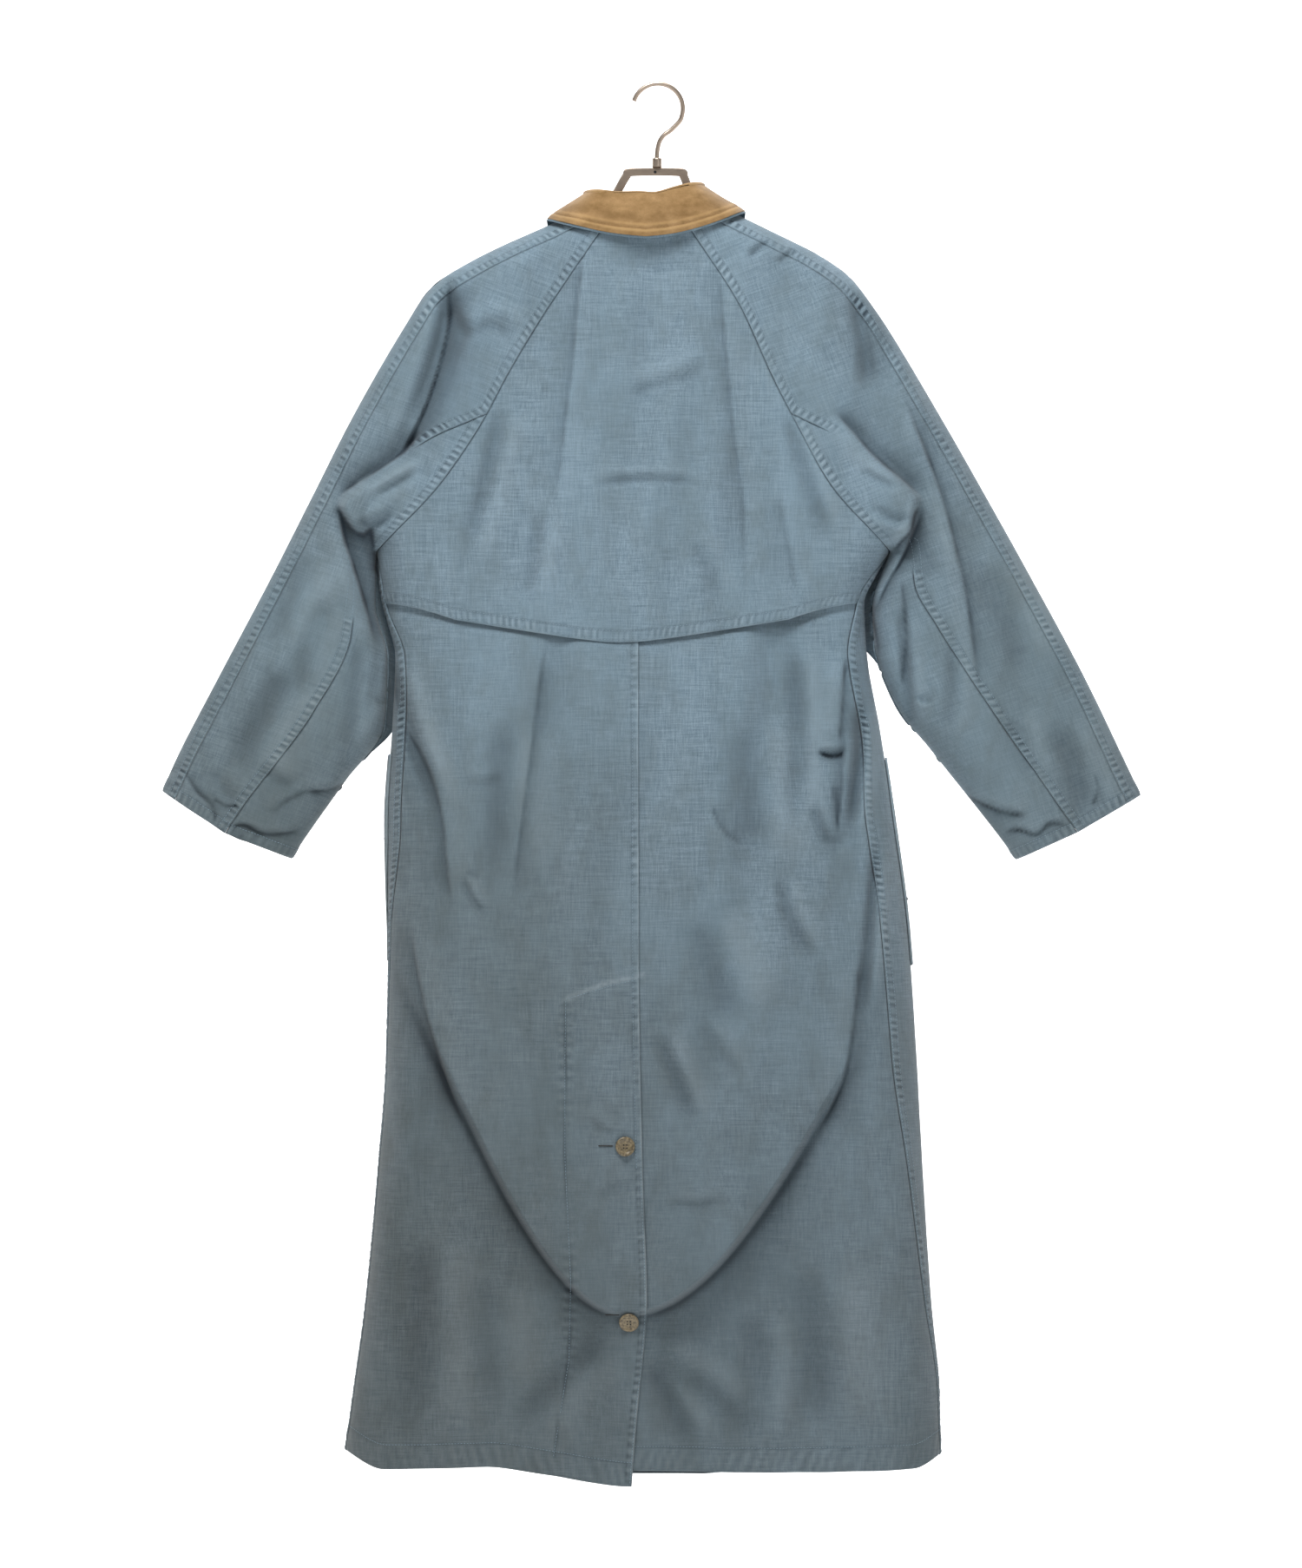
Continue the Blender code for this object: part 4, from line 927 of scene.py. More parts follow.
def feed(tree, node, inputs):
    """Sets each input of a shader node, or links it to the socket that is given."""
    for key, value in inputs.items():
        if isinstance(value, bpy.types.NodeSocket):
            tree.links.new(value, node.inputs[key])
        else:
            node.inputs[key].default_value = value


def add(tree, kind, inputs=None, **settings):
    """A new shader node with its settings made and its inputs fed."""
    node = tree.nodes.new("ShaderNode" + kind)
    for key, value in settings.items():
        setattr(node, key, value)
    feed(tree, node, inputs or {})
    return node


def combined(tree, operation, *values):
    """Numbers or sockets put together by one operation."""
    return add(tree, "Math", dict(enumerate(values)), operation=operation).outputs[0]


def mixed(tree, factor, first, second, blend="MIX"):
    """A colour between two, by a factor."""
    return add(tree, "Mix", {0: factor, 6: first, 7: second}, data_type="RGBA", blend_type=blend).outputs[2]


def layered(tree, colour, layers):
    """A colour with layers laid over it, each a factor and a tone, and a blend where it isn't a plain mix."""
    for factor, tone, *blend in layers:
        colour = mixed(tree, factor, colour, srgb(*tone), *blend)
    return colour


def ranged(tree, value, low, high, to_low=0.0, to_high=1.0):
    """A value carried from one range to another, and held at its ends."""
    inputs = {"Value": value, "From Min": low, "From Max": high, "To Min": to_low, "To Max": to_high}
    return add(tree, "MapRange", inputs).outputs[0]


def noise(tree, vector, stretch, detail=3.0, rough=0.6):
    """Noise over a vector stretched by three factors."""
    spread = add(tree, "VectorMath", {0: vector, 1: stretch}, operation="MULTIPLY").outputs[0]
    inputs = {"Vector": spread, "Scale": 1.0, "Detail": detail, "Roughness": rough}
    return add(tree, "TexNoise", inputs).outputs[0]


def attribute(tree, name, output):
    """What a mesh keeps under a name for each point."""
    return add(tree, "Attribute", attribute_name=name).outputs[output]


def grained_bump(tree, height, strength):
    """A normal roughened by a height, for grain well under a millimetre deep."""
    return add(tree, "Bump", {"Height": height, "Strength": strength, "Distance": 0.0004}).outputs[0]


def material(name):
    """A new material, with its node tree, its shader and the place of each point in metres."""
    looks = bpy.data.materials.new(name)
    looks.use_nodes = True
    tree = looks.node_tree
    return looks, tree, tree.nodes["Principled BSDF"], add(tree, "TexCoord").outputs["Object"]


def denim_material():
    """Washed denim: warp and weft streaks, slow fade patches, light rubbed seams, dark seam lines and painted
    shade.
    """
    looks, tree, shader, place = material("washed denim")
    x, _, z = add(tree, "SeparateXYZ", {0: place}).outputs
    on_cloth = attribute(tree, "grain", "Vector")
    wear_and_shade = attribute(tree, "wear_and_shade", "Fac")
    warp = noise(tree, on_cloth, (760, 760, 40), 4, 0.68)
    weft = noise(tree, on_cloth, (37, 37, 700), 4, 0.68)
    grain = noise(tree, on_cloth, (2600, 2600, 2600), 2)
    shade = noise(tree, on_cloth, (13, 13, 4.5), 5, 0.62)
    patches = noise(tree, place, (9, 9, 5), 4, 0.6)
    spots = noise(tree, place, (34, 34, 19), 4, 0.65)
    streaks = combined(tree, "ADD", combined(tree, "ADD", warp, weft), grain)
    lower_left = combined(tree, "MULTIPLY", ranged(tree, x, 0.06, -0.14), ranged(tree, z, -0.52, -0.8))
    sideways = combined(tree, "ABSOLUTE", x)
    colour = mixed(tree, ranged(tree, streaks, 0.95, 2.05), srgb(*DENIM_DARK), srgb(*DENIM_LIGHT))
    layers = (
        (ranged(tree, patches, 0.4, 0.64, 0, 0.6), DENIM_FADED),
        (ranged(tree, spots, 0.44, 0.7, 0, 0.4), DENIM_GREY),
        (ranged(tree, shade, 0.4, 0.62), DENIM_SHADE, "MULTIPLY"),
        # Above 0 the cloth is rubbed lighter; below 0 it takes dark seam lines and painted shade in its
        # folds.
        (ranged(tree, wear_and_shade, 0, 1, 0, 0.75), DENIM_WORN),
        (ranged(tree, wear_and_shade, 0, -1, 0, 0.9), DENIM_LINE_AND_SHADE),
        # Painted shade: the cloth darkens between drops of 0.6 m and 1.2 m.
        (ranged(tree, z, -0.6, -1.2), DENIM_LOW_SHADE, "MULTIPLY"),
        (lower_left, DENIM_LEFT, "MULTIPLY"),
        (ranged(tree, sideways, 0.2, 0.36), DENIM_SLEEVE, "MULTIPLY"),
    )
    colour = layered(tree, colour, layers)
    feed(tree, shader, {"Base Color": colour, "Normal": grained_bump(tree, streaks, 0.35)})
    feed(tree, shader, {"Roughness": 0.92, "Specular IOR Level": 0.2})
    feed(tree, shader, {"Sheen Weight": 0.12, "Sheen Roughness": 0.6})
    return looks


def nap_material():
    """Short tan nap: brushed lighter and darker patches over a fine grain."""
    looks, tree, shader, place = material("tan nap")
    wear_and_shade = attribute(tree, "wear_and_shade", "Fac")
    brushed = noise(tree, place, (60, 60, 95), 4, 0.6)
    grain = noise(tree, place, (1300, 1300, 700), 3)
    colour = mixed(tree, ranged(tree, brushed, 0.3, 0.76), srgb(*TAN_DARK), srgb(*TAN_LIGHT))
    layers = (
        (ranged(tree, grain, 0.35, 0.7, 0, 0.35), TAN_DARK),
        (ranged(tree, wear_and_shade, 0, 1, 0, 0.8), TAN_EDGE),
        (ranged(tree, wear_and_shade, 0, -1, 0, 0.7), TAN_LINE),
    )
    colour = layered(tree, colour, layers)
    feed(tree, shader, {"Base Color": colour, "Normal": grained_bump(tree, grain, 0.4)})
    feed(tree, shader, {"Roughness": 0.95, "Specular IOR Level": 0.15, "Sheen Weight": 0.25})
    return looks


def horn_material():
    """Clouded grey-brown horn."""
    looks, tree, shader, place = material("grey horn")
    cloud = noise(tree, place, (420, 420, 420), 4)
    colour = mixed(tree, ranged(tree, cloud, 0.35, 0.65), srgb(*HORN_DARK), srgb(*HORN_LIGHT))
    feed(tree, shader, {"Base Color": colour, "Roughness": 0.38})
    return looks


def metal_material():
    """Satin metal, brushed a little rougher and smoother."""
    looks, tree, shader, place = material("satin champagne metal")
    brushed = noise(tree, place, (240, 240, 900), 3)
    rough = ranged(tree, brushed, 0.3, 0.7, 0.3, 0.42)
    feed(tree, shader, {"Base Color": srgb(*CHAMPAGNE), "Metallic": 1.0, "Roughness": rough})
    return looks


def plain_material(name, tone, roughness):
    """One colour with a faint mottle."""
    looks, tree, shader, place = material(name)
    colour = srgb(*tone)
    darker = (*(0.8 * part for part in colour[:3]), 1.0)
    mottled = mixed(tree, noise(tree, place, (300, 300, 300), 2), colour, darker)
    feed(tree, shader, {"Base Color": mottled, "Roughness": roughness})
    return looks


# Meshes, sewing and stitches
def grid_normals(point):
    """Unit normals of a grid of points, from the points beside each one."""
    normal = np.cross(np.gradient(point, axis=1), np.gradient(point, axis=0))
    return normal / np.maximum(np.linalg.norm(normal, axis=-1, keepdims=True), 1e-9)


def grid_quads(rows, across, around=False):
    """The corners of the faces of a grid of points, whose rows close on themselves where it goes around."""
    index = np.arange(rows * across).reshape(rows, across)
    if around:
        index = np.concatenate([index, index[:, :1]], axis=1)
    return np.stack([index[:-1, :-1], index[:-1, 1:], index[1:, 1:], index[1:, :-1]], axis=-1).reshape(-1, 4)


def grid_object(name, point, looks, flip=1, wear_and_shade=None, lean=0, around=False):
    """A mesh of four-sided faces over a grid of points."""
    quads = grid_quads(*point.shape[:2], around)[:, ::flip]
    return mesh_object(name, point.reshape(-1, 3), quads, looks, wear_and_shade, lean)


def mesh_object(name, points, quads, looks, wear_and_shade=None, lean=0):
    """A smooth mesh. Cloth keeps each point's rubbing and painted shade, and its place turned by the lean of
    its grain.
    """
    name = name.replace(" ", "_")
    mesh = bpy.data.meshes.new(name)
    mesh.vertices.add(len(points))
    mesh.vertices.foreach_set("co", np.ascontiguousarray(points * MM, np.float32).ravel())
    mesh.loops.add(quads.size)
    mesh.loops.foreach_set("vertex_index", np.ascontiguousarray(quads, np.int32).ravel())
    mesh.polygons.add(len(quads))
    mesh.polygons.foreach_set("loop_start", np.arange(0, quads.size, 4, dtype=np.int32))
    mesh.update(calc_edges=True)
    mesh.polygons.foreach_set("use_smooth", np.ones(len(quads), bool))
    if wear_and_shade is not None:
        layer = mesh.attributes.new("wear_and_shade", "FLOAT", "POINT")
        layer.data.foreach_set("value", np.ascontiguousarray(wear_and_shade, np.float32).ravel())
        x, y, z = points.T
        cosine, sine = np.cos(np.radians(lean)), np.sin(np.radians(lean))
        grain = np.stack([x * cosine + z * sine, y, z * cosine - x * sine], axis=1)
        layer = mesh.attributes.new("grain", "FLOAT_VECTOR", "POINT")
        layer.data.foreach_set("vector", np.ascontiguousarray(grain * MM, np.float32).ravel())
    obj = bpy.data.objects.new(name, mesh)
    bpy.context.scene.collection.objects.link(obj)
    obj.data.materials.append(looks)
    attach(obj, "root")
    return obj


def lengths(point):
    """How far each point of a grid is along its row and down its column."""
    across = np.linalg.norm(np.diff(point, axis=1), axis=-1).cumsum(axis=1)
    down = np.linalg.norm(np.diff(point, axis=0), axis=-1).cumsum(axis=0)
    return np.pad(across, ((0, 0), (1, 0))), np.pad(down, ((1, 0), (0, 0)))


def from_border(border, across, down):
    """How far points are from a border of their piece, and how far along it."""
    if border == "start":
        return across, down[:, :1] + 0 * across
    if border == "end":
        return across[:, -1:] - across, down[:, -1:] + 0 * across
    return down[-1:] - down, across[-1:] + 0 * down


# Band is how wide the sewn band is and raised how far it stands. Pucker and wave are its puckers' height and
# spacing, and rope slants them. Edge lightens the border and line darkens it.
SEAMS = columns(
    "band raised pucker wave rope edge line",
    (10.0, 0.8, 0.5, 7.2, 0.0, 0.4, 0.0),
    (3.0, 0.0, 0.15, 8.5, 0.0, 0.0, 1.0),
    (25.0, 0.6, 0.16, 12.0, 0.4, 0.3, 0.0),
    (12.5, 0.6, 0.3, 7.0, 0.15, 0.5, 0.0),
    (8.0, 0.5, 0.3, 9.0, 0.2, 0.8, 0.0),
    (3.0, 0.0, 0.1, 8.5, 0.0, 0.0, 0.55),
)
KINDS = {name: k for k, name in enumerate(("felled", "tucked", "hem", "narrow_hem", "edge", "faint"))}


def sewn(point, borders):
    """The height sewing gives a piece, and how it rubs or lines it: a raised band beside each border,
    puckered along it.
    """
    across, down = lengths(point)
    height = np.zeros(across.shape)
    wear_and_shade = np.zeros(across.shape)
    for seed, (border, kind, *hidden) in enumerate(borders):
        seam = {key: values[KINDS[kind]] for key, values in SEAMS.items()}
        width, pucker = seam["band"], seam["pucker"]
        away, along = from_border(border, across, down)
        shown = np.ones(across.shape)
        for low, high in hidden:
            shown = shown * (1 - ease((-point[..., 2] - low) / 10) * ease((high + point[..., 2]) / 10))
        jitter = 0.6 * np.sin(along / 23 + 2.1 * seed) + 0.55 * np.sin(along / 8.7 + 1.3 * seed)
        uneven = 0.65 + 0.35 * np.sin(along / 41 + 3.7 * seed) * np.sin(along / 17.3 + seed)
        broken = 0.6 + 0.4 * np.sin(along / 29 + seed) * np.sin(along / 12.5)
        folds = np.sin(2 * np.pi * (along / seam["wave"] + seam["rope"] * away / 12) + 2 * jitter)
        lip = ease(away / 1.1)
        band = 1 - ease((away - width) / 2.5)
        window = ease(away / 1.5) * (1 - ease((away - 0.8 * width) / (0.15 * width + 2.5)))
        rows = (seam["raised"] > 0) * (hump(away, width - 0.8, 1.1) + hump(away, 1.6, 0.9))
        rise = seam["raised"] * (band * lip - 0.6 * (1 - lip)) + pucker * uneven * folds * window
        rise -= seam["line"] * hump(away, 0, 1.5) + 0.4 * rows
        ticks = ease((-folds - 0.1) / 0.7) * ease((away - 1.5) / 2) * (1 - ease((away - 0.8 * width) / 2))
        light = 1.3 * pucker * uneven * window * (ease(folds) - ticks)
        light += seam["edge"] * broken * hump(away, 1.0, 1.3)
        light -= seam["line"] * (0.4 + 0.6 * broken) * hump(away, 0, 1.3) + 0.3 * rows
        height += shown * rise
        wear_and_shade += shown * light
    return height, np.clip(wear_and_shade, -1, 1)


SEAM_PLACES = (0, 0.5, 1.1, 1.9, 3, 4.5, 6.3, 8.2, 10.2, 12.5)


def spaced(width, step, fine=SEAM_PLACES, at_start=True, at_end=True):
    """Shares from 0 to 1 over a width: close together at the borders, then about a step apart."""
    close = np.array(fine) / width
    first = close if at_start else np.zeros(1)
    last = 1 - close[::-1] if at_end else np.ones(1)
    count = int(np.ceil((last[0] - first[-1]) * width / step))
    return np.concatenate([first, np.linspace(first[-1], last[0], count + 1)[1:-1], last])


# What each cloth piece is made of, by its name.
made = {}


def drape_shadow(x, z):
    """The painted shade under the big drape fold: a dark line along its turn and a broad painted shadow below
    it.
    """
    away = x - DRAPE_X
    above = (z + DRAPE_DROP - drape_curve(x)[0]) / np.hypot(1, 2 * 0.0075 * away)
    below = np.maximum(-above, 0)
    turned = hump(above, -4, 5) + 0.75 * ease(below / 6) * np.exp(-below / 26)
    return turned * (1 - ease((np.abs(away) - 160) / 100)) * (0.3 + 0.7 * ease((np.abs(away) - 8) / 30))


def shell(name, node, slot, looks, base, point, normal, flip, wear_and_shade, lean=0, thick=CLOTH, rim_only=True):
    """A cloth shell that stands for a solid: a base grid raised by its sewing and thickened inwards."""
    obj = grid_object(name, point, looks, flip, wear_and_shade, lean)
    wall = obj.modifiers.new("cloth thickness", "SOLIDIFY")
    wall.thickness = thick * MM
    wall.offset = -1
    wall.use_rim_only = rim_only
    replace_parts(obj, node)
    across, down = lengths(base)
    made[name] = {"obj": obj, "point": point, "normal": normal, "across": across, "down": down, "with": []}


def cloth(name, node, surface, u, v, flip, borders, lean=0, drape_shaded=False):
    """A denim piece on the surface over a grid of u by v, with sewing, rubbing and painted shade; backs get
    the drape's too.
    """
    base = surface(*np.meshgrid(u, v))
    normal = flip * grid_normals(base)
    height, wear_and_shade = sewn(base, borders)
    seen = normal[..., 1] < 0
    x, z = base[..., 0], base[..., 2]
    # Painted shade along the fold edges and under the big drape fold, with the seam rows' lines, darkens the
    # side facing -y.
    dark = fold_edges(x, z)[1] + seam_rows(x, z)[1] + 0.55 * drape_shaded * drape_shadow(x, z)
    # Crease heights darken the troughs as painted shade and lighten the lips as wear.
    crease_wear_and_shade = np.where(seen, creases(x, z, -1), creases(x, z, 1))
    wear_and_shade = np.clip(wear_and_shade + CREASE_WEAR_AND_SHADE * np.clip(crease_wear_and_shade, -8, 8) - seen * dark, -1, 1)
    point = base + height[..., None] * normal
    shell(name, node, "denim", denim, base, point, normal, flip, wear_and_shade, lean)


def border_line(name, border, away, low=0.0, high=1.0):
    """Points and normals along a piece at a distance from one border, over a part of its length."""
    piece = made[name]
    point, normal, across, down = piece["point"], piece["normal"], piece["across"], piece["down"]
    if border == "foot":
        point, normal, across = point.swapaxes(0, 1), normal.swapaxes(0, 1), down.T
    far = across
    if border != "start":
        far, point, normal = (across[:, -1:] - across)[:, ::-1], point[:, ::-1], normal[:, ::-1]
    row = np.arange(len(far))
    k = np.clip((far < away).sum(axis=1) - 1, 0, far.shape[1] - 2)
    share = ((away - far[row, k]) / (far[row, k + 1] - far[row, k]))[:, None]
    spot = point[row, k] + share * (point[row, k + 1] - point[row, k])
    keep = slice(int(low * len(row)), int(np.ceil(high * len(row))))
    return spot[keep], normal[row, k][keep]


def resampled(line, values, pitch):
    """Even places along a line of points, with values carried over, and the way along the line there."""
    far = passed(line)
    at = np.arange(pitch / 2, far[-1] - pitch / 2, pitch)

    def carried(array, places):
        return np.stack([np.interp(places, far, array[:, i]) for i in range(3)], axis=1)

    return carried(line, at), carried(values, at), unit(carried(line, at + 0.4) - carried(line, at - 0.4))


# A stitch from end to end: how far along its length, its share of the thickness and how far it is sunk.
STITCH = columns(
    "along size sink",
    (-0.5, 0.25, 0.35),
    (-0.3, 0.9, 0.05),
    (0.3, 0.9, 0.05),
    (0.5, 0.25, 0.35),
)


def stitches(name, owner, lines, looks, pitch=3.2, length=2.5, thick=0.62, lift=0.12):
    """Rows of stitches: each is a short four-sided thread that dips into the cloth at both ends."""
    ahead, size, sink = (values[:, None, None] for values in STITCH.values())
    turn = np.radians((45, 135, 225, 315))[:, None]
    points, quads, count = [], [], 0
    for line, normal in lines:
        spot, out, along = (values[:, None, None] for values in resampled(line, normal, pitch))
        out = unit(out)
        side = np.cross(along, out)
        ring = 0.5 * thick * size * (np.cos(turn) * side + np.sin(turn) * out)
        block = spot + length * ahead * along + ring + (lift - sink) * out
        corner = count + np.arange(len(spot) * 16).reshape(-1, 4, 4)
        after = np.roll(corner, -1, axis=2)
        sides = np.stack([corner[:, :-1], after[:, :-1], after[:, 1:], corner[:, 1:]], axis=-1)
        points.append(block.reshape(-1, 3))
        quads.append(sides.reshape(-1, 4))
        count += corner.size
    obj = mesh_object(name, np.concatenate(points), np.concatenate(quads), looks)
    made[owner]["with"].append(obj)


denim = denim_material()
nap = nap_material()
horn = horn_material()
metal = metal_material()
thread = plain_material("grey-blue thread", (126, 147, 160), 0.8)
tan_thread = plain_material("tan thread", (150, 116, 70), 0.8)
# Painted shade, packed as dark stitches into the buttonholes' slits.
slit_shade_thread = plain_material("dark thread", (44, 40, 36), 0.8)
# Painted shade, for the holes in the buttons and the bar.
hole_shade = plain_material("dark hollow", (22, 26, 30), 0.9)

# Places in from a border, in millimetres, where the rows or columns of a grid lie close together.
LAP_PLACES = np.concatenate([np.arange(66, 16, -3.5), (14, 11.5, 9.5, 8, 6.6, 5.2, 3.8, 2.4, 1.2, 0.5, 0)])
HEM_PLACES = (0, 0.5, 1.1, 1.9, 3, 4.5, 6.5, 9, 11.5, 14, 16.5, 19, 21, 22.5, 24, 25.5, 27.5)
FRONT_PLACES = (0, 0.6, 1.3, 2.2, 3.4, 5, 7, 9, 11, 13, 16, 19, 23, 28, 34, 40)
# The drops between which folds hide the sleeve's seam, and the shares of it where its stitches leave off.
HIDDEN_SEAM = {"left": (362, 548), "right": (346, 500)}
HIDDEN_ROWS = {"left": (0.36, 0.6), "right": (0.34, 0.54)}


def sew(name, stitching, *rows):
    """Stitches along a piece. A row is a border, distances from it, and the part of its length if not all."""
    lines = []
    for border, distances, *part in rows:
        lines += [border_line(name, border, away, *part) for away in distances]
    stitches(stitching, name, lines, thread)


def body_pieces(side, turn):
    """The back and the front of one side. The front's rows meet the back's at the side seam."""
    lapped = np.linspace(LAP_START, 1, 26)[1:]
    if side == "left":
        lapped = 1 - (1 - LAP_START) / UNDERLAP_WIDE * LAP_PLACES
    u = np.concatenate([spaced(255, 3.4, at_end=False) * LAP_START, lapped])
    v = spaced(905, 2.6, at_start=False, fine=HEM_PLACES)
    borders = [("start", "tucked"), ("end", "edge" if side == "left" else "tucked"), ("foot", "hem")]
    cloth(f"{side} back", f"back_{side}", partial(back, side), u, v, -turn, borders, drape_shaded=True)
    u = spaced(360, 9, fine=FRONT_PLACES, at_end=False)
    drops = np.concatenate([np.linspace(FRONT_RAGLAN_DROP, UNDERARM_DROP, 90), -back(side, 0 * v, v)[..., 2]])
    borders = [("start", "felled"), ("end", "edge"), ("foot", "hem")]
    cloth(f"{side} front", f"front_{side}", partial(front, side), u, drops, turn, borders)


def sleeve_pieces(side, turn):
    """The back, front and under sleeve of one side."""
    rows = np.linspace(0, 1, 310)
    under_rows = np.concatenate([[JUNCTION_ROW + 0.002], rows[rows > JUNCTION_ROW + 0.003]])
    strip = OVERARM_STRIP * spaced(26, 1.6, fine=SEAM_PLACES[:5], at_end=False)
    front_u = np.concatenate([strip, np.linspace(OVERARM_STRIP, 1, 40)[1:]])
    hidden = HIDDEN_SEAM[side]
    armhole = ("end", "felled", (UNDERARM_DROP - 4, 2000))
    for part, surface, u, v, flip, borders in (
        ("back", sleeve_back, spaced(125, 2.8), rows, -turn, [("start", "faint"), ("end", "felled", hidden)]),
        ("front", sleeve_front, front_u, rows, turn, [("start", "felled")]),
        ("under", sleeve_under, spaced(60, 2.4), under_rows, -turn, [("start", "tucked", hidden), armhole]),
    ):
        borders = [*borders, ("foot", "narrow_hem")]
        name = f"{side} {part} sleeve"
        cloth(name, f"sleeve_{side}_{part}", partial(surface, side), u, v, flip, borders, -turn * SLEEVE_LEAN)


def side_stitches(side):
    """The rows of stitches on the pieces of one side."""
    low, high = HIDDEN_ROWS[side]
    hem, narrow_hem = ("foot", (HEM_ROW,)), ("foot", (NARROW_HEM_ROW,))
    centre = [("end", (6.5,), 0, 0.44), ("end", (2,), 0.42)] if side == "left" else []
    for part, *rows in (
        ("front sleeve", ("start", (1.6, 9.6))),
        ("back sleeve", ("end", FELLED_ROWS, 0, low), ("end", FELLED_ROWS, high, 1), narrow_hem),
        ("under sleeve", narrow_hem, ("end", FELLED_ROWS, 0.02, 0.3)),
        ("front", ("start", FELLED_ROWS), hem, ("end", (6, 32))),
        ("back", hem, *centre),
    ):
        sew(f"{side} {part}", f"{side} {part} stitches", *rows)


def cape_piece():
    """The storm cape, its columns closest at the raglan seams and its rows at the hem."""
    u = np.arccos(1 - 2 * spaced(505, 3.2)) / np.pi
    borders = [("start", "tucked"), ("end", "tucked"), ("foot", "narrow_hem")]
    cloth("storm cape", "cape", cape, u, spaced(424, 2.6, at_start=False), -1, borders)
    sew("storm cape", "cape hem stitches", ("foot", (2.2, 11.5)))


def collar_pieces():
    """The tan collar over its denim undercollar, folded along one surface, with its rubbed fold and edge."""
    turns = np.linspace(-0.91, 0.91, 281)
    folded = np.stack([collar_grid(turns, part) for part in range(9)])
    x = folded[4, :, 0]
    peaks = 2.4 * hump(x, -66, 20) + 4.5 * hump(x, 40, 26) - 2.2 * hump(x, -2, 12)
    folded[2:7, :, 2] += (np.abs(turns) < 0.5) * peaks
    fall = 8 - 2 * np.linspace(1, 0, 40)[1:] ** 1.15
    at = np.concatenate([np.linspace(0, 2, 12), np.linspace(2, 6, 25)[1:], fall])
    folded = curve_through(folded, at)
    way = -grid_normals(folded)
    across, down = lengths(folded)
    away = down[-1:] - down
    ripple = 0.5 * np.sin(across / 13 + 1.7 * np.sin(across / 31)) * hump(away, 0, 16)
    groove = hump(away, 8, 1.2)
    rows = hump(away, 5.6, 1.6) + 0.8 * hump(away, 12, 1.8)
    rounded = 0.9 * (1 - hump(away, 0, 3))
    height = 0.3 + COLLAR_CLOTH + ripple + rounded - 0.5 * groove - 0.9
    wear_and_shade = 0.55 * rows - 0.35 * groove - 0.3 * hump(away, 18, 6) + 0.2 * ripple
    wear_and_shade += 0.5 * hump(at[:, None], 4.6, 0.8) * (0.6 + 0.4 * np.sin(across / 9 + np.sin(across / 23)))
    upper = folded + height[..., None] * way
    under = folded - 0.3 * way
    under[-1] += 1.8 * unit(under[-1] - under[-3])
    wear_and_shade = np.clip(wear_and_shade, -1, 1)
    shell("fall collar", "collar", "tan_napped_cloth", nap, folded, upper, way, -1, wear_and_shade, thick=COLLAR_CLOTH)
    shell("undercollar piece", "undercollar", "denim", denim, folded, under, way, -1, 0 * wear_and_shade)
    row = border_line("fall collar", "foot", 8)
    stitches("collar stitches", "fall collar", [row], tan_thread, pitch=3.4, thick=0.7)


def spun(name, place, axis, profile, looks, around=40):
    """A turned piece: a profile of distances out from the axis and up along it, carried round."""
    axis = unit(np.asarray(axis))
    first = unit(np.cross(axis, (0.0, 0.0, 1.0) if abs(axis[2]) < 0.9 else (1.0, 0.0, 0.0)))
    second = np.cross(axis, first)
    angle = np.linspace(0, 2 * np.pi, around, endpoint=False)
    ring = np.cos(angle)[:, None] * first + np.sin(angle)[:, None] * second
    point = place + profile["up"][:, None, None] * axis + profile["out"][:, None, None] * ring
    obj = grid_object(name, point, looks, around=True)
    return obj, first, second


BUTTON = columns(
    "out up",
    *((0.01, 2.05), (3, 2.1), (5.6, 2.3), (6.6, 2.75), (7.3, 3.2), (8.1, 3.4), (8.9, 3.3), (9.6, 2.8)),
    *((10, 2.1), (9.9, 1.2), (9.2, 0.5), (8.2, 0.05), (4, 0), (0.01, 0)),
)
BUTTON_HOLE = columns("out up", (0.01, 2.14), (0.75, 2.14), (0.95, 2.02), (0.9, 1.8), (0.01, 1.8))


def button_piece(name, node, place, axis):
    """A button with a raised rim and four holes, each a dark disc of painted shade."""
    obj, first, second = spun(name, place, axis, BUTTON, horn, 48)
    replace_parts(obj, node)
    for k in range(4):
        angle = np.radians(45 + 90 * k)
        spot = place + 2.3 * (np.cos(angle) * first + np.sin(angle) * second)
        # Each hole is a dark disc: painted shade where it goes through.
        spun(f"{name} hole {k + 1}", spot, axis, BUTTON_HOLE, hole_shade, 14)


def tube(name, line, section, looks):
    """A bar with a closed section carried along a line in the XZ plane, its ends drawn in to close it."""
    along = unit(np.gradient(line, axis=0))
    deep = np.broadcast_to((0.0, 1.0, 0.0), along.shape)
    tall = np.cross(deep, along)
    ring = section[:, 0, None] * tall[:, None] + section[:, 1, None] * deep[:, None]
    start, end = line[:1, None] + 0.02 * ring[:1], line[-1:, None] + 0.02 * ring[-1:]
    obj = grid_object(name, np.concatenate([start, line[:, None] + ring, end]), looks, -1, around=True)
    return obj


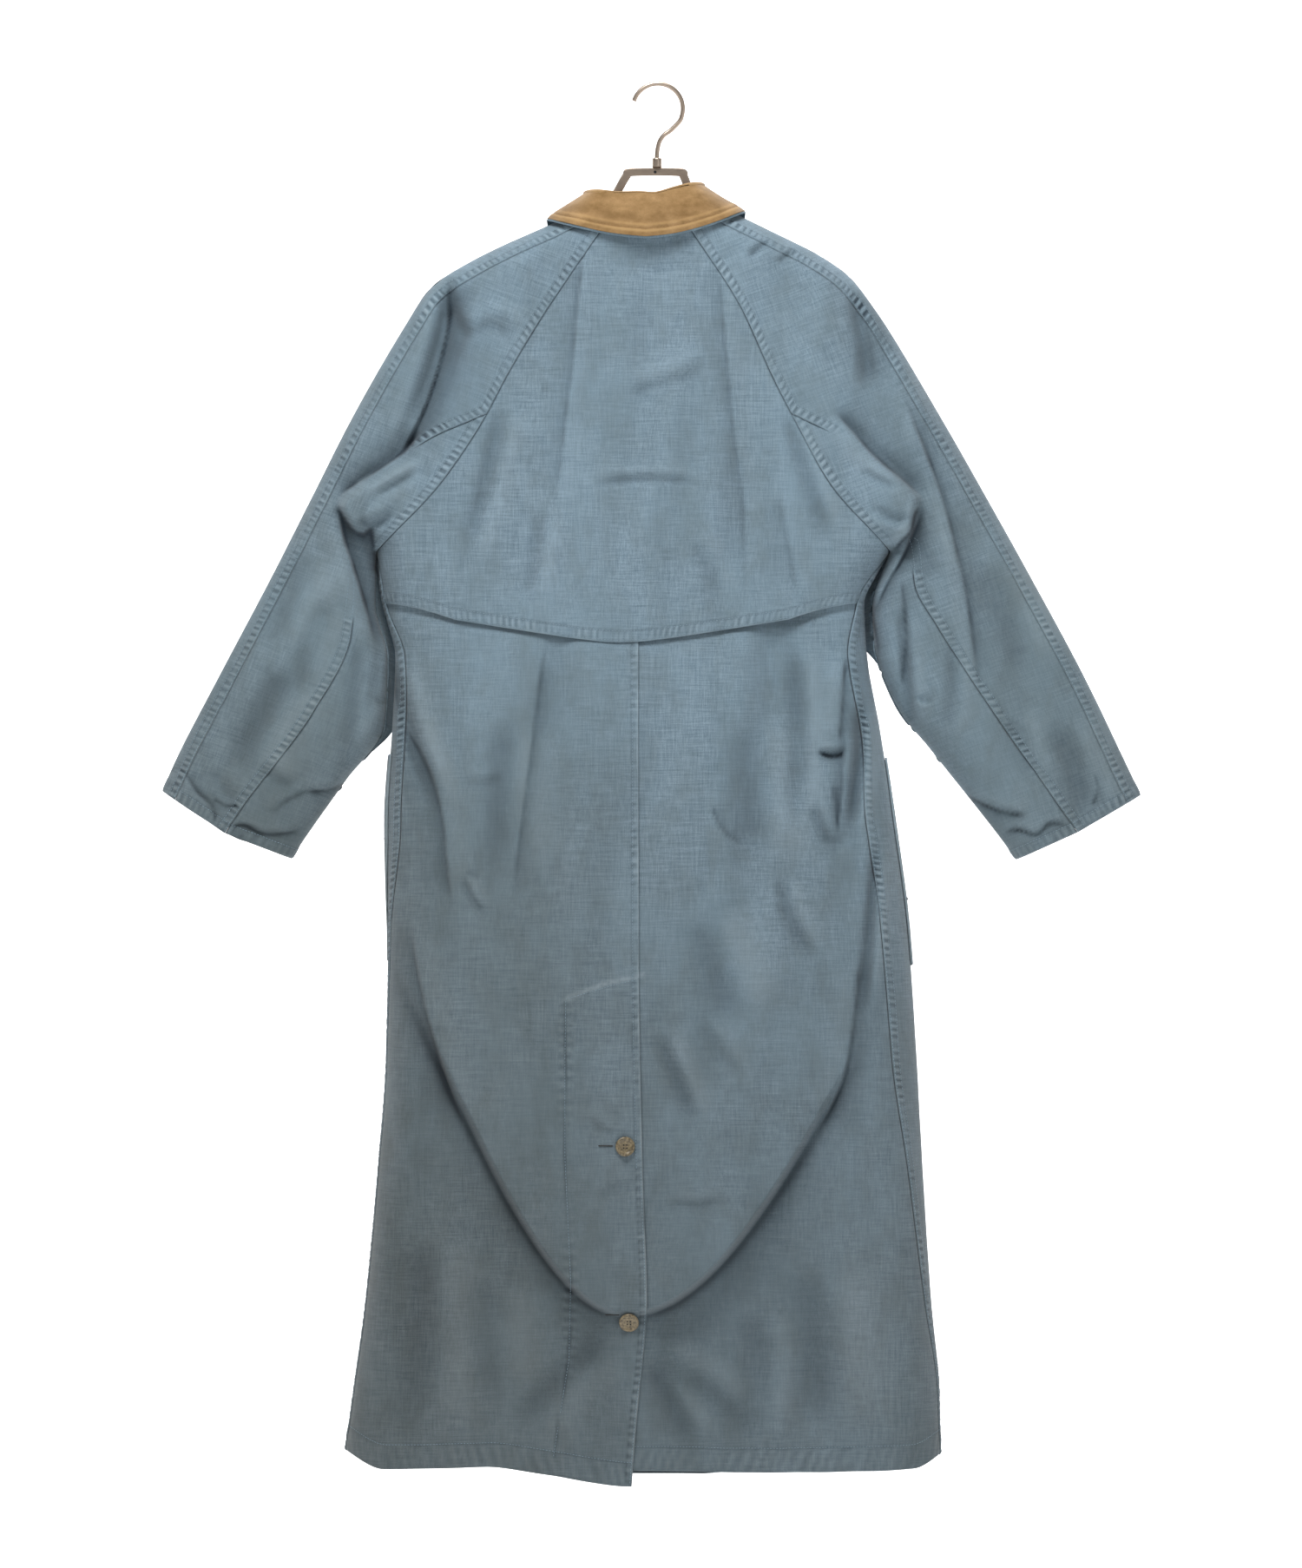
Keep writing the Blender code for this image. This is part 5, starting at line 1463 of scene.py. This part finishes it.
def hanger_line():
    """The bar of the hanger: level at the top, down both legs and out along the shoulders under the cloth."""
    legs = {
        "left": columns("x drop", (-68, 139), (-52, 126), (-42, 111), (-31, 92), (-25, 88)),
        "right": columns("x drop", (52, 134), (39, 120), (32.5, 106), (27.5, 93), (22, 88)),
    }
    halves = {}
    for side, leg in legs.items():
        ridge = np.stack(outer[side](np.array(RIDGE_ROWS)), axis=1)
        along = unit(np.gradient(ridge, axis=0))
        below = SIDES[side] * np.stack([along[:, 1], -along[:, 0]], axis=1)
        arm = (ridge - (CLOTH + 0.7 + FRAME_TALL / 2) * below)[::-1]
        halves[side] = np.concatenate([arm, np.stack([leg["x"], -leg["drop"]], axis=1)])
    line = np.concatenate([halves["left"], halves["right"][::-1]])
    line = curve_through(line, np.linspace(0, len(line) - 1, 260))
    return np.insert(line, 1, 0, axis=1)


def hook_line():
    """The hook: most of a circle, then back under its middle to the ferrule."""
    angle = np.radians(np.linspace(162, -40, 60))
    bend = columns("x drop", (14.5, 45.2), (7.9, 49.8), (3.2, 56), (1.0, 63), (0.2, 69), (0, 73.7))
    x = np.concatenate([0.9 + HOOK_RADIUS * np.cos(angle[::4]), bend["x"]])
    z = np.concatenate([HOOK_WIRE / 2 - HOOK_RADIUS + HOOK_RADIUS * np.sin(angle[::4]), -bend["drop"]])
    line = curve_through(np.stack([x, z], axis=1), np.linspace(0, len(x) - 1, 200))
    return np.insert(line, 1, 0, axis=1)


def hanger_pieces():
    """The hook's round wire, the flat bar with rounded corners, the ferrule and the bar's hole as a
    painted-shade disc.
    """
    angle = np.linspace(0, 2 * np.pi, 24, endpoint=False)
    circle = np.stack([np.cos(angle), np.sin(angle)], axis=1)
    wire = HOOK_DRAWN * HOOK_WIRE / 2 * circle
    flat_bar = np.sign(circle) * np.abs(circle) ** 0.45 * (FRAME_TALL / 2, FRAME_THICK / 2)
    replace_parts(tube("hanger hook wire", hook_line(), wire, metal), "hanger_hook")
    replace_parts(tube("hanger bar", hanger_line(), flat_bar, metal), "hanger_frame")
    half = ((0.01, 4.7), (4.2, 4.7), (4.7, 4.3), (4.8, 3.6))
    profile = columns("out up", *half, *((out, -up) for out, up in half[::-1]))
    place = np.array([0.0, 0.0, -78.7])
    ferrule = spun("hanger ferrule sleeve", place, (0, 0, 1), profile, metal)[0]
    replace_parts(ferrule, "hanger_ferrule")
    # The bar's hole is a dark disc: painted shade.
    hole_disc = columns("out up", (0.01, 0.12), (1.2, 0.12), (1.5, 0.0), (1.5, -0.5), (0.01, -0.5))
    place = np.array([-1.8, -FRAME_THICK / 2, -88.0])
    spun("hanger bar hole", place, (0, -1, 0), hole_disc, hole_shade, 16)


def welt_pieces():
    """The pocket welts: strips on the fronts beside the side seams, a little proud of them."""
    for side, first, last in (("left", 0.066, 0.114), ("right", 0.127, 0.183)):
        drops = np.linspace(675, 885, 90)
        u = np.linspace(first, last, 14)
        base = front(side, *np.meshgrid(u, drops))
        way = SIDES[side] * grid_normals(base)
        rounded = np.minimum(ease((u - first) / 0.008), ease((last - u) / 0.008))
        point = base + (CLOTH + 0.6 + 0.6 * rounded)[:, None] * way
        across = lengths(base)[0]
        wear_and_shade = 0.8 * hump(across, 0, 1.6) + 0.4 * hump(across, across[:, -1:], 1.6)
        name, node, wall = f"{side} pocket welt", f"welt_{side}", {"thick": CLOTH + 0.3, "rim_only": False}
        shell(name, node, "denim", denim, base, point, way, SIDES[side], wear_and_shade, **wall)


def vent_facing():
    """The stitches of the vent's facing, slanted at the top, then down to the hem, and two buttonholes of
    painted shade.
    """
    line = columns(
        "x drop",
        *((-18, 906), (-92, 927), (-93, 990), (-93, 1086), (-87, 1209), (-89, 1292), (-105, 1392)),
    )
    at = np.linspace(0, 6, 400)
    x, drop = (np.interp(at, np.arange(7), values) for values in line.values())
    grid, ways = (made["left back"][key].reshape(-1, 3) for key in ("point", "normal"))
    keep = (grid[:, 0] > -125) & (grid[:, 2] < -880)
    spots, ways = grid[keep], ways[keep]
    away = (spots[None, :, 0] - x[:, None]) ** 2 + (spots[None, :, 2] + drop[:, None]) ** 2
    nearest = away.argmin(axis=1)
    depth = spots[nearest, 1]
    smoothed = np.convolve(np.pad(depth, 3, mode="edge"), np.ones(7) / 7, mode="valid")
    path = np.stack([x, np.minimum(smoothed, depth), -drop], axis=1)
    stitches("vent facing stitches", "left back", [(path, ways[nearest])], thread)
    slits = []
    for start, end, drop in ((-59, -44, 1075), (-52, -38, 1246)):
        x = np.linspace(start, end, 12)
        point = placed(x, np.full(12, -float(drop)), -1, "body") - (0, LAP_LIFT + 0.4, 0)
        slits.append((point, np.broadcast_to((0.0, -1.0, 0.0), point.shape)))
    # Dark stitches packed into each slit: painted shade in the buttonhole's opening.
    stitches("vent buttonholes", "left back", slits, slit_shade_thread, pitch=0.9, length=1.5, thick=1.5)


def button_pieces():
    """The two buttons of the vent, and the five of the front, each clear of the cloth under it."""
    places = [("upper vent button", "vent_button_upper", -33, 1076, -1, BUTTON_GAP)]
    places += [("lower vent button", "vent_button_lower", -28, 1251, -1, -1.0)]
    for k in range(5):
        drop = FRONT_BUTTON_DROP + FRONT_BUTTON_STEP * k
        places += [(f"front button {k + 1}", f"front_button_{k + 1}", NECK_CENTRE, drop, 1, BUTTON_GAP)]
    for name, node, x, drop, face, gap in places:
        button_piece(name, node, *surface_place(x, drop, face, LAP_LIFT + gap))


cape_piece()
for side, turn in SIDES.items():
    body_pieces(side, turn)
    sleeve_pieces(side, turn)
for side in SIDES:
    side_stitches(side)
collar_pieces()
hanger_pieces()
welt_pieces()
vent_facing()
button_pieces()


# Stage, light and camera
def cove_material():
    """Matt white that glows a little, and more with the way back to the wall."""
    looks, tree, shader, place = material("white cove")
    tone = mixed(tree, noise(tree, place, (2, 2, 2), 2), (0.93, 0.93, 0.93, 1), (0.95, 0.95, 0.95, 1))
    y = add(tree, "SeparateXYZ", {0: place}).outputs[1]
    feed(tree, shader, {"Base Color": tone, "Roughness": 1.0, "Emission Color": (1, 1, 1, 1)})
    feed(tree, shader, {"Emission Strength": ranged(tree, y, 0.6, 2.4, 0.5, 1.0)})
    return looks


def stage_pieces():
    """A pale floor that turns up into a white wall far behind the coat, and soft light from above."""
    bend = np.linspace(0, np.pi / 2, 12)
    y = np.concatenate([np.linspace(-40, 13, 12), 13 + 2 * np.sin(bend), np.full(4, 15)])
    z = np.concatenate([np.full(12, -2.1), -0.1 - 2 * np.cos(bend), np.linspace(0.5, 12, 4)])
    x = np.linspace(-45, 45, 13)
    point = np.stack(np.broadcast_arrays(x[None], y[:, None], z[:, None]), axis=-1)
    mesh = bpy.data.meshes.new("white cove")
    mesh.from_pydata(point.reshape(-1, 3).tolist(), [], grid_quads(*point.shape[:2]).tolist())
    mesh.materials.append(cove_material())
    cove = bpy.data.objects.new("white cove", mesh)
    bpy.context.scene.collection.objects.link(cove)
    world = bpy.data.worlds.new("soft studio")
    bpy.context.scene.world = world
    world.use_nodes = True
    feed(world.node_tree, world.node_tree.nodes["Background"], {"Color": (1, 1, 1, 1), "Strength": 0.2})
    for name, place, degrees, size, power in (
        ("key light", (-0.5, -1.9, 2.5), (33, 0, -12), 1.4, 140),
        ("front light", (0.6, 1.9, 2.5), (-33, 0, -12), 1.4, 60),
        ("fill light", (2.6, -3.0, 0.2), (80, 0, 40), 2.4, 14),
    ):
        lamp = bpy.data.lights.new(name, "AREA")
        lamp.size = size
        lamp.energy = power
        obj = bpy.data.objects.new(name, lamp)
        obj.location = place
        obj.rotation_euler = np.radians(degrees)
        bpy.context.scene.collection.objects.link(obj)


CAMERA_PLACE = (-0.006, -10.03, -0.710)
PICTURE_TALL = 1.589
PICTURE_AWAY = 10.0
SENSOR_TALL = 24.0


def camera():
    """The photo's view: level and straight at the back, the picture as tall at the coat as in the photo."""
    lens = bpy.data.cameras.new("camera")
    lens.sensor_fit = "VERTICAL"
    lens.sensor_height = SENSOR_TALL
    lens.lens = SENSOR_TALL * PICTURE_AWAY / PICTURE_TALL
    lens.clip_end = 60
    obj = bpy.data.objects.new("camera", lens)
    obj.location = CAMERA_PLACE
    obj.rotation_euler = (np.pi / 2, 0, 0)
    bpy.context.scene.collection.objects.link(obj)
    bpy.context.scene.camera = obj


stage_pieces()
camera()
bpy.context.scene.view_settings.view_transform = "Standard"
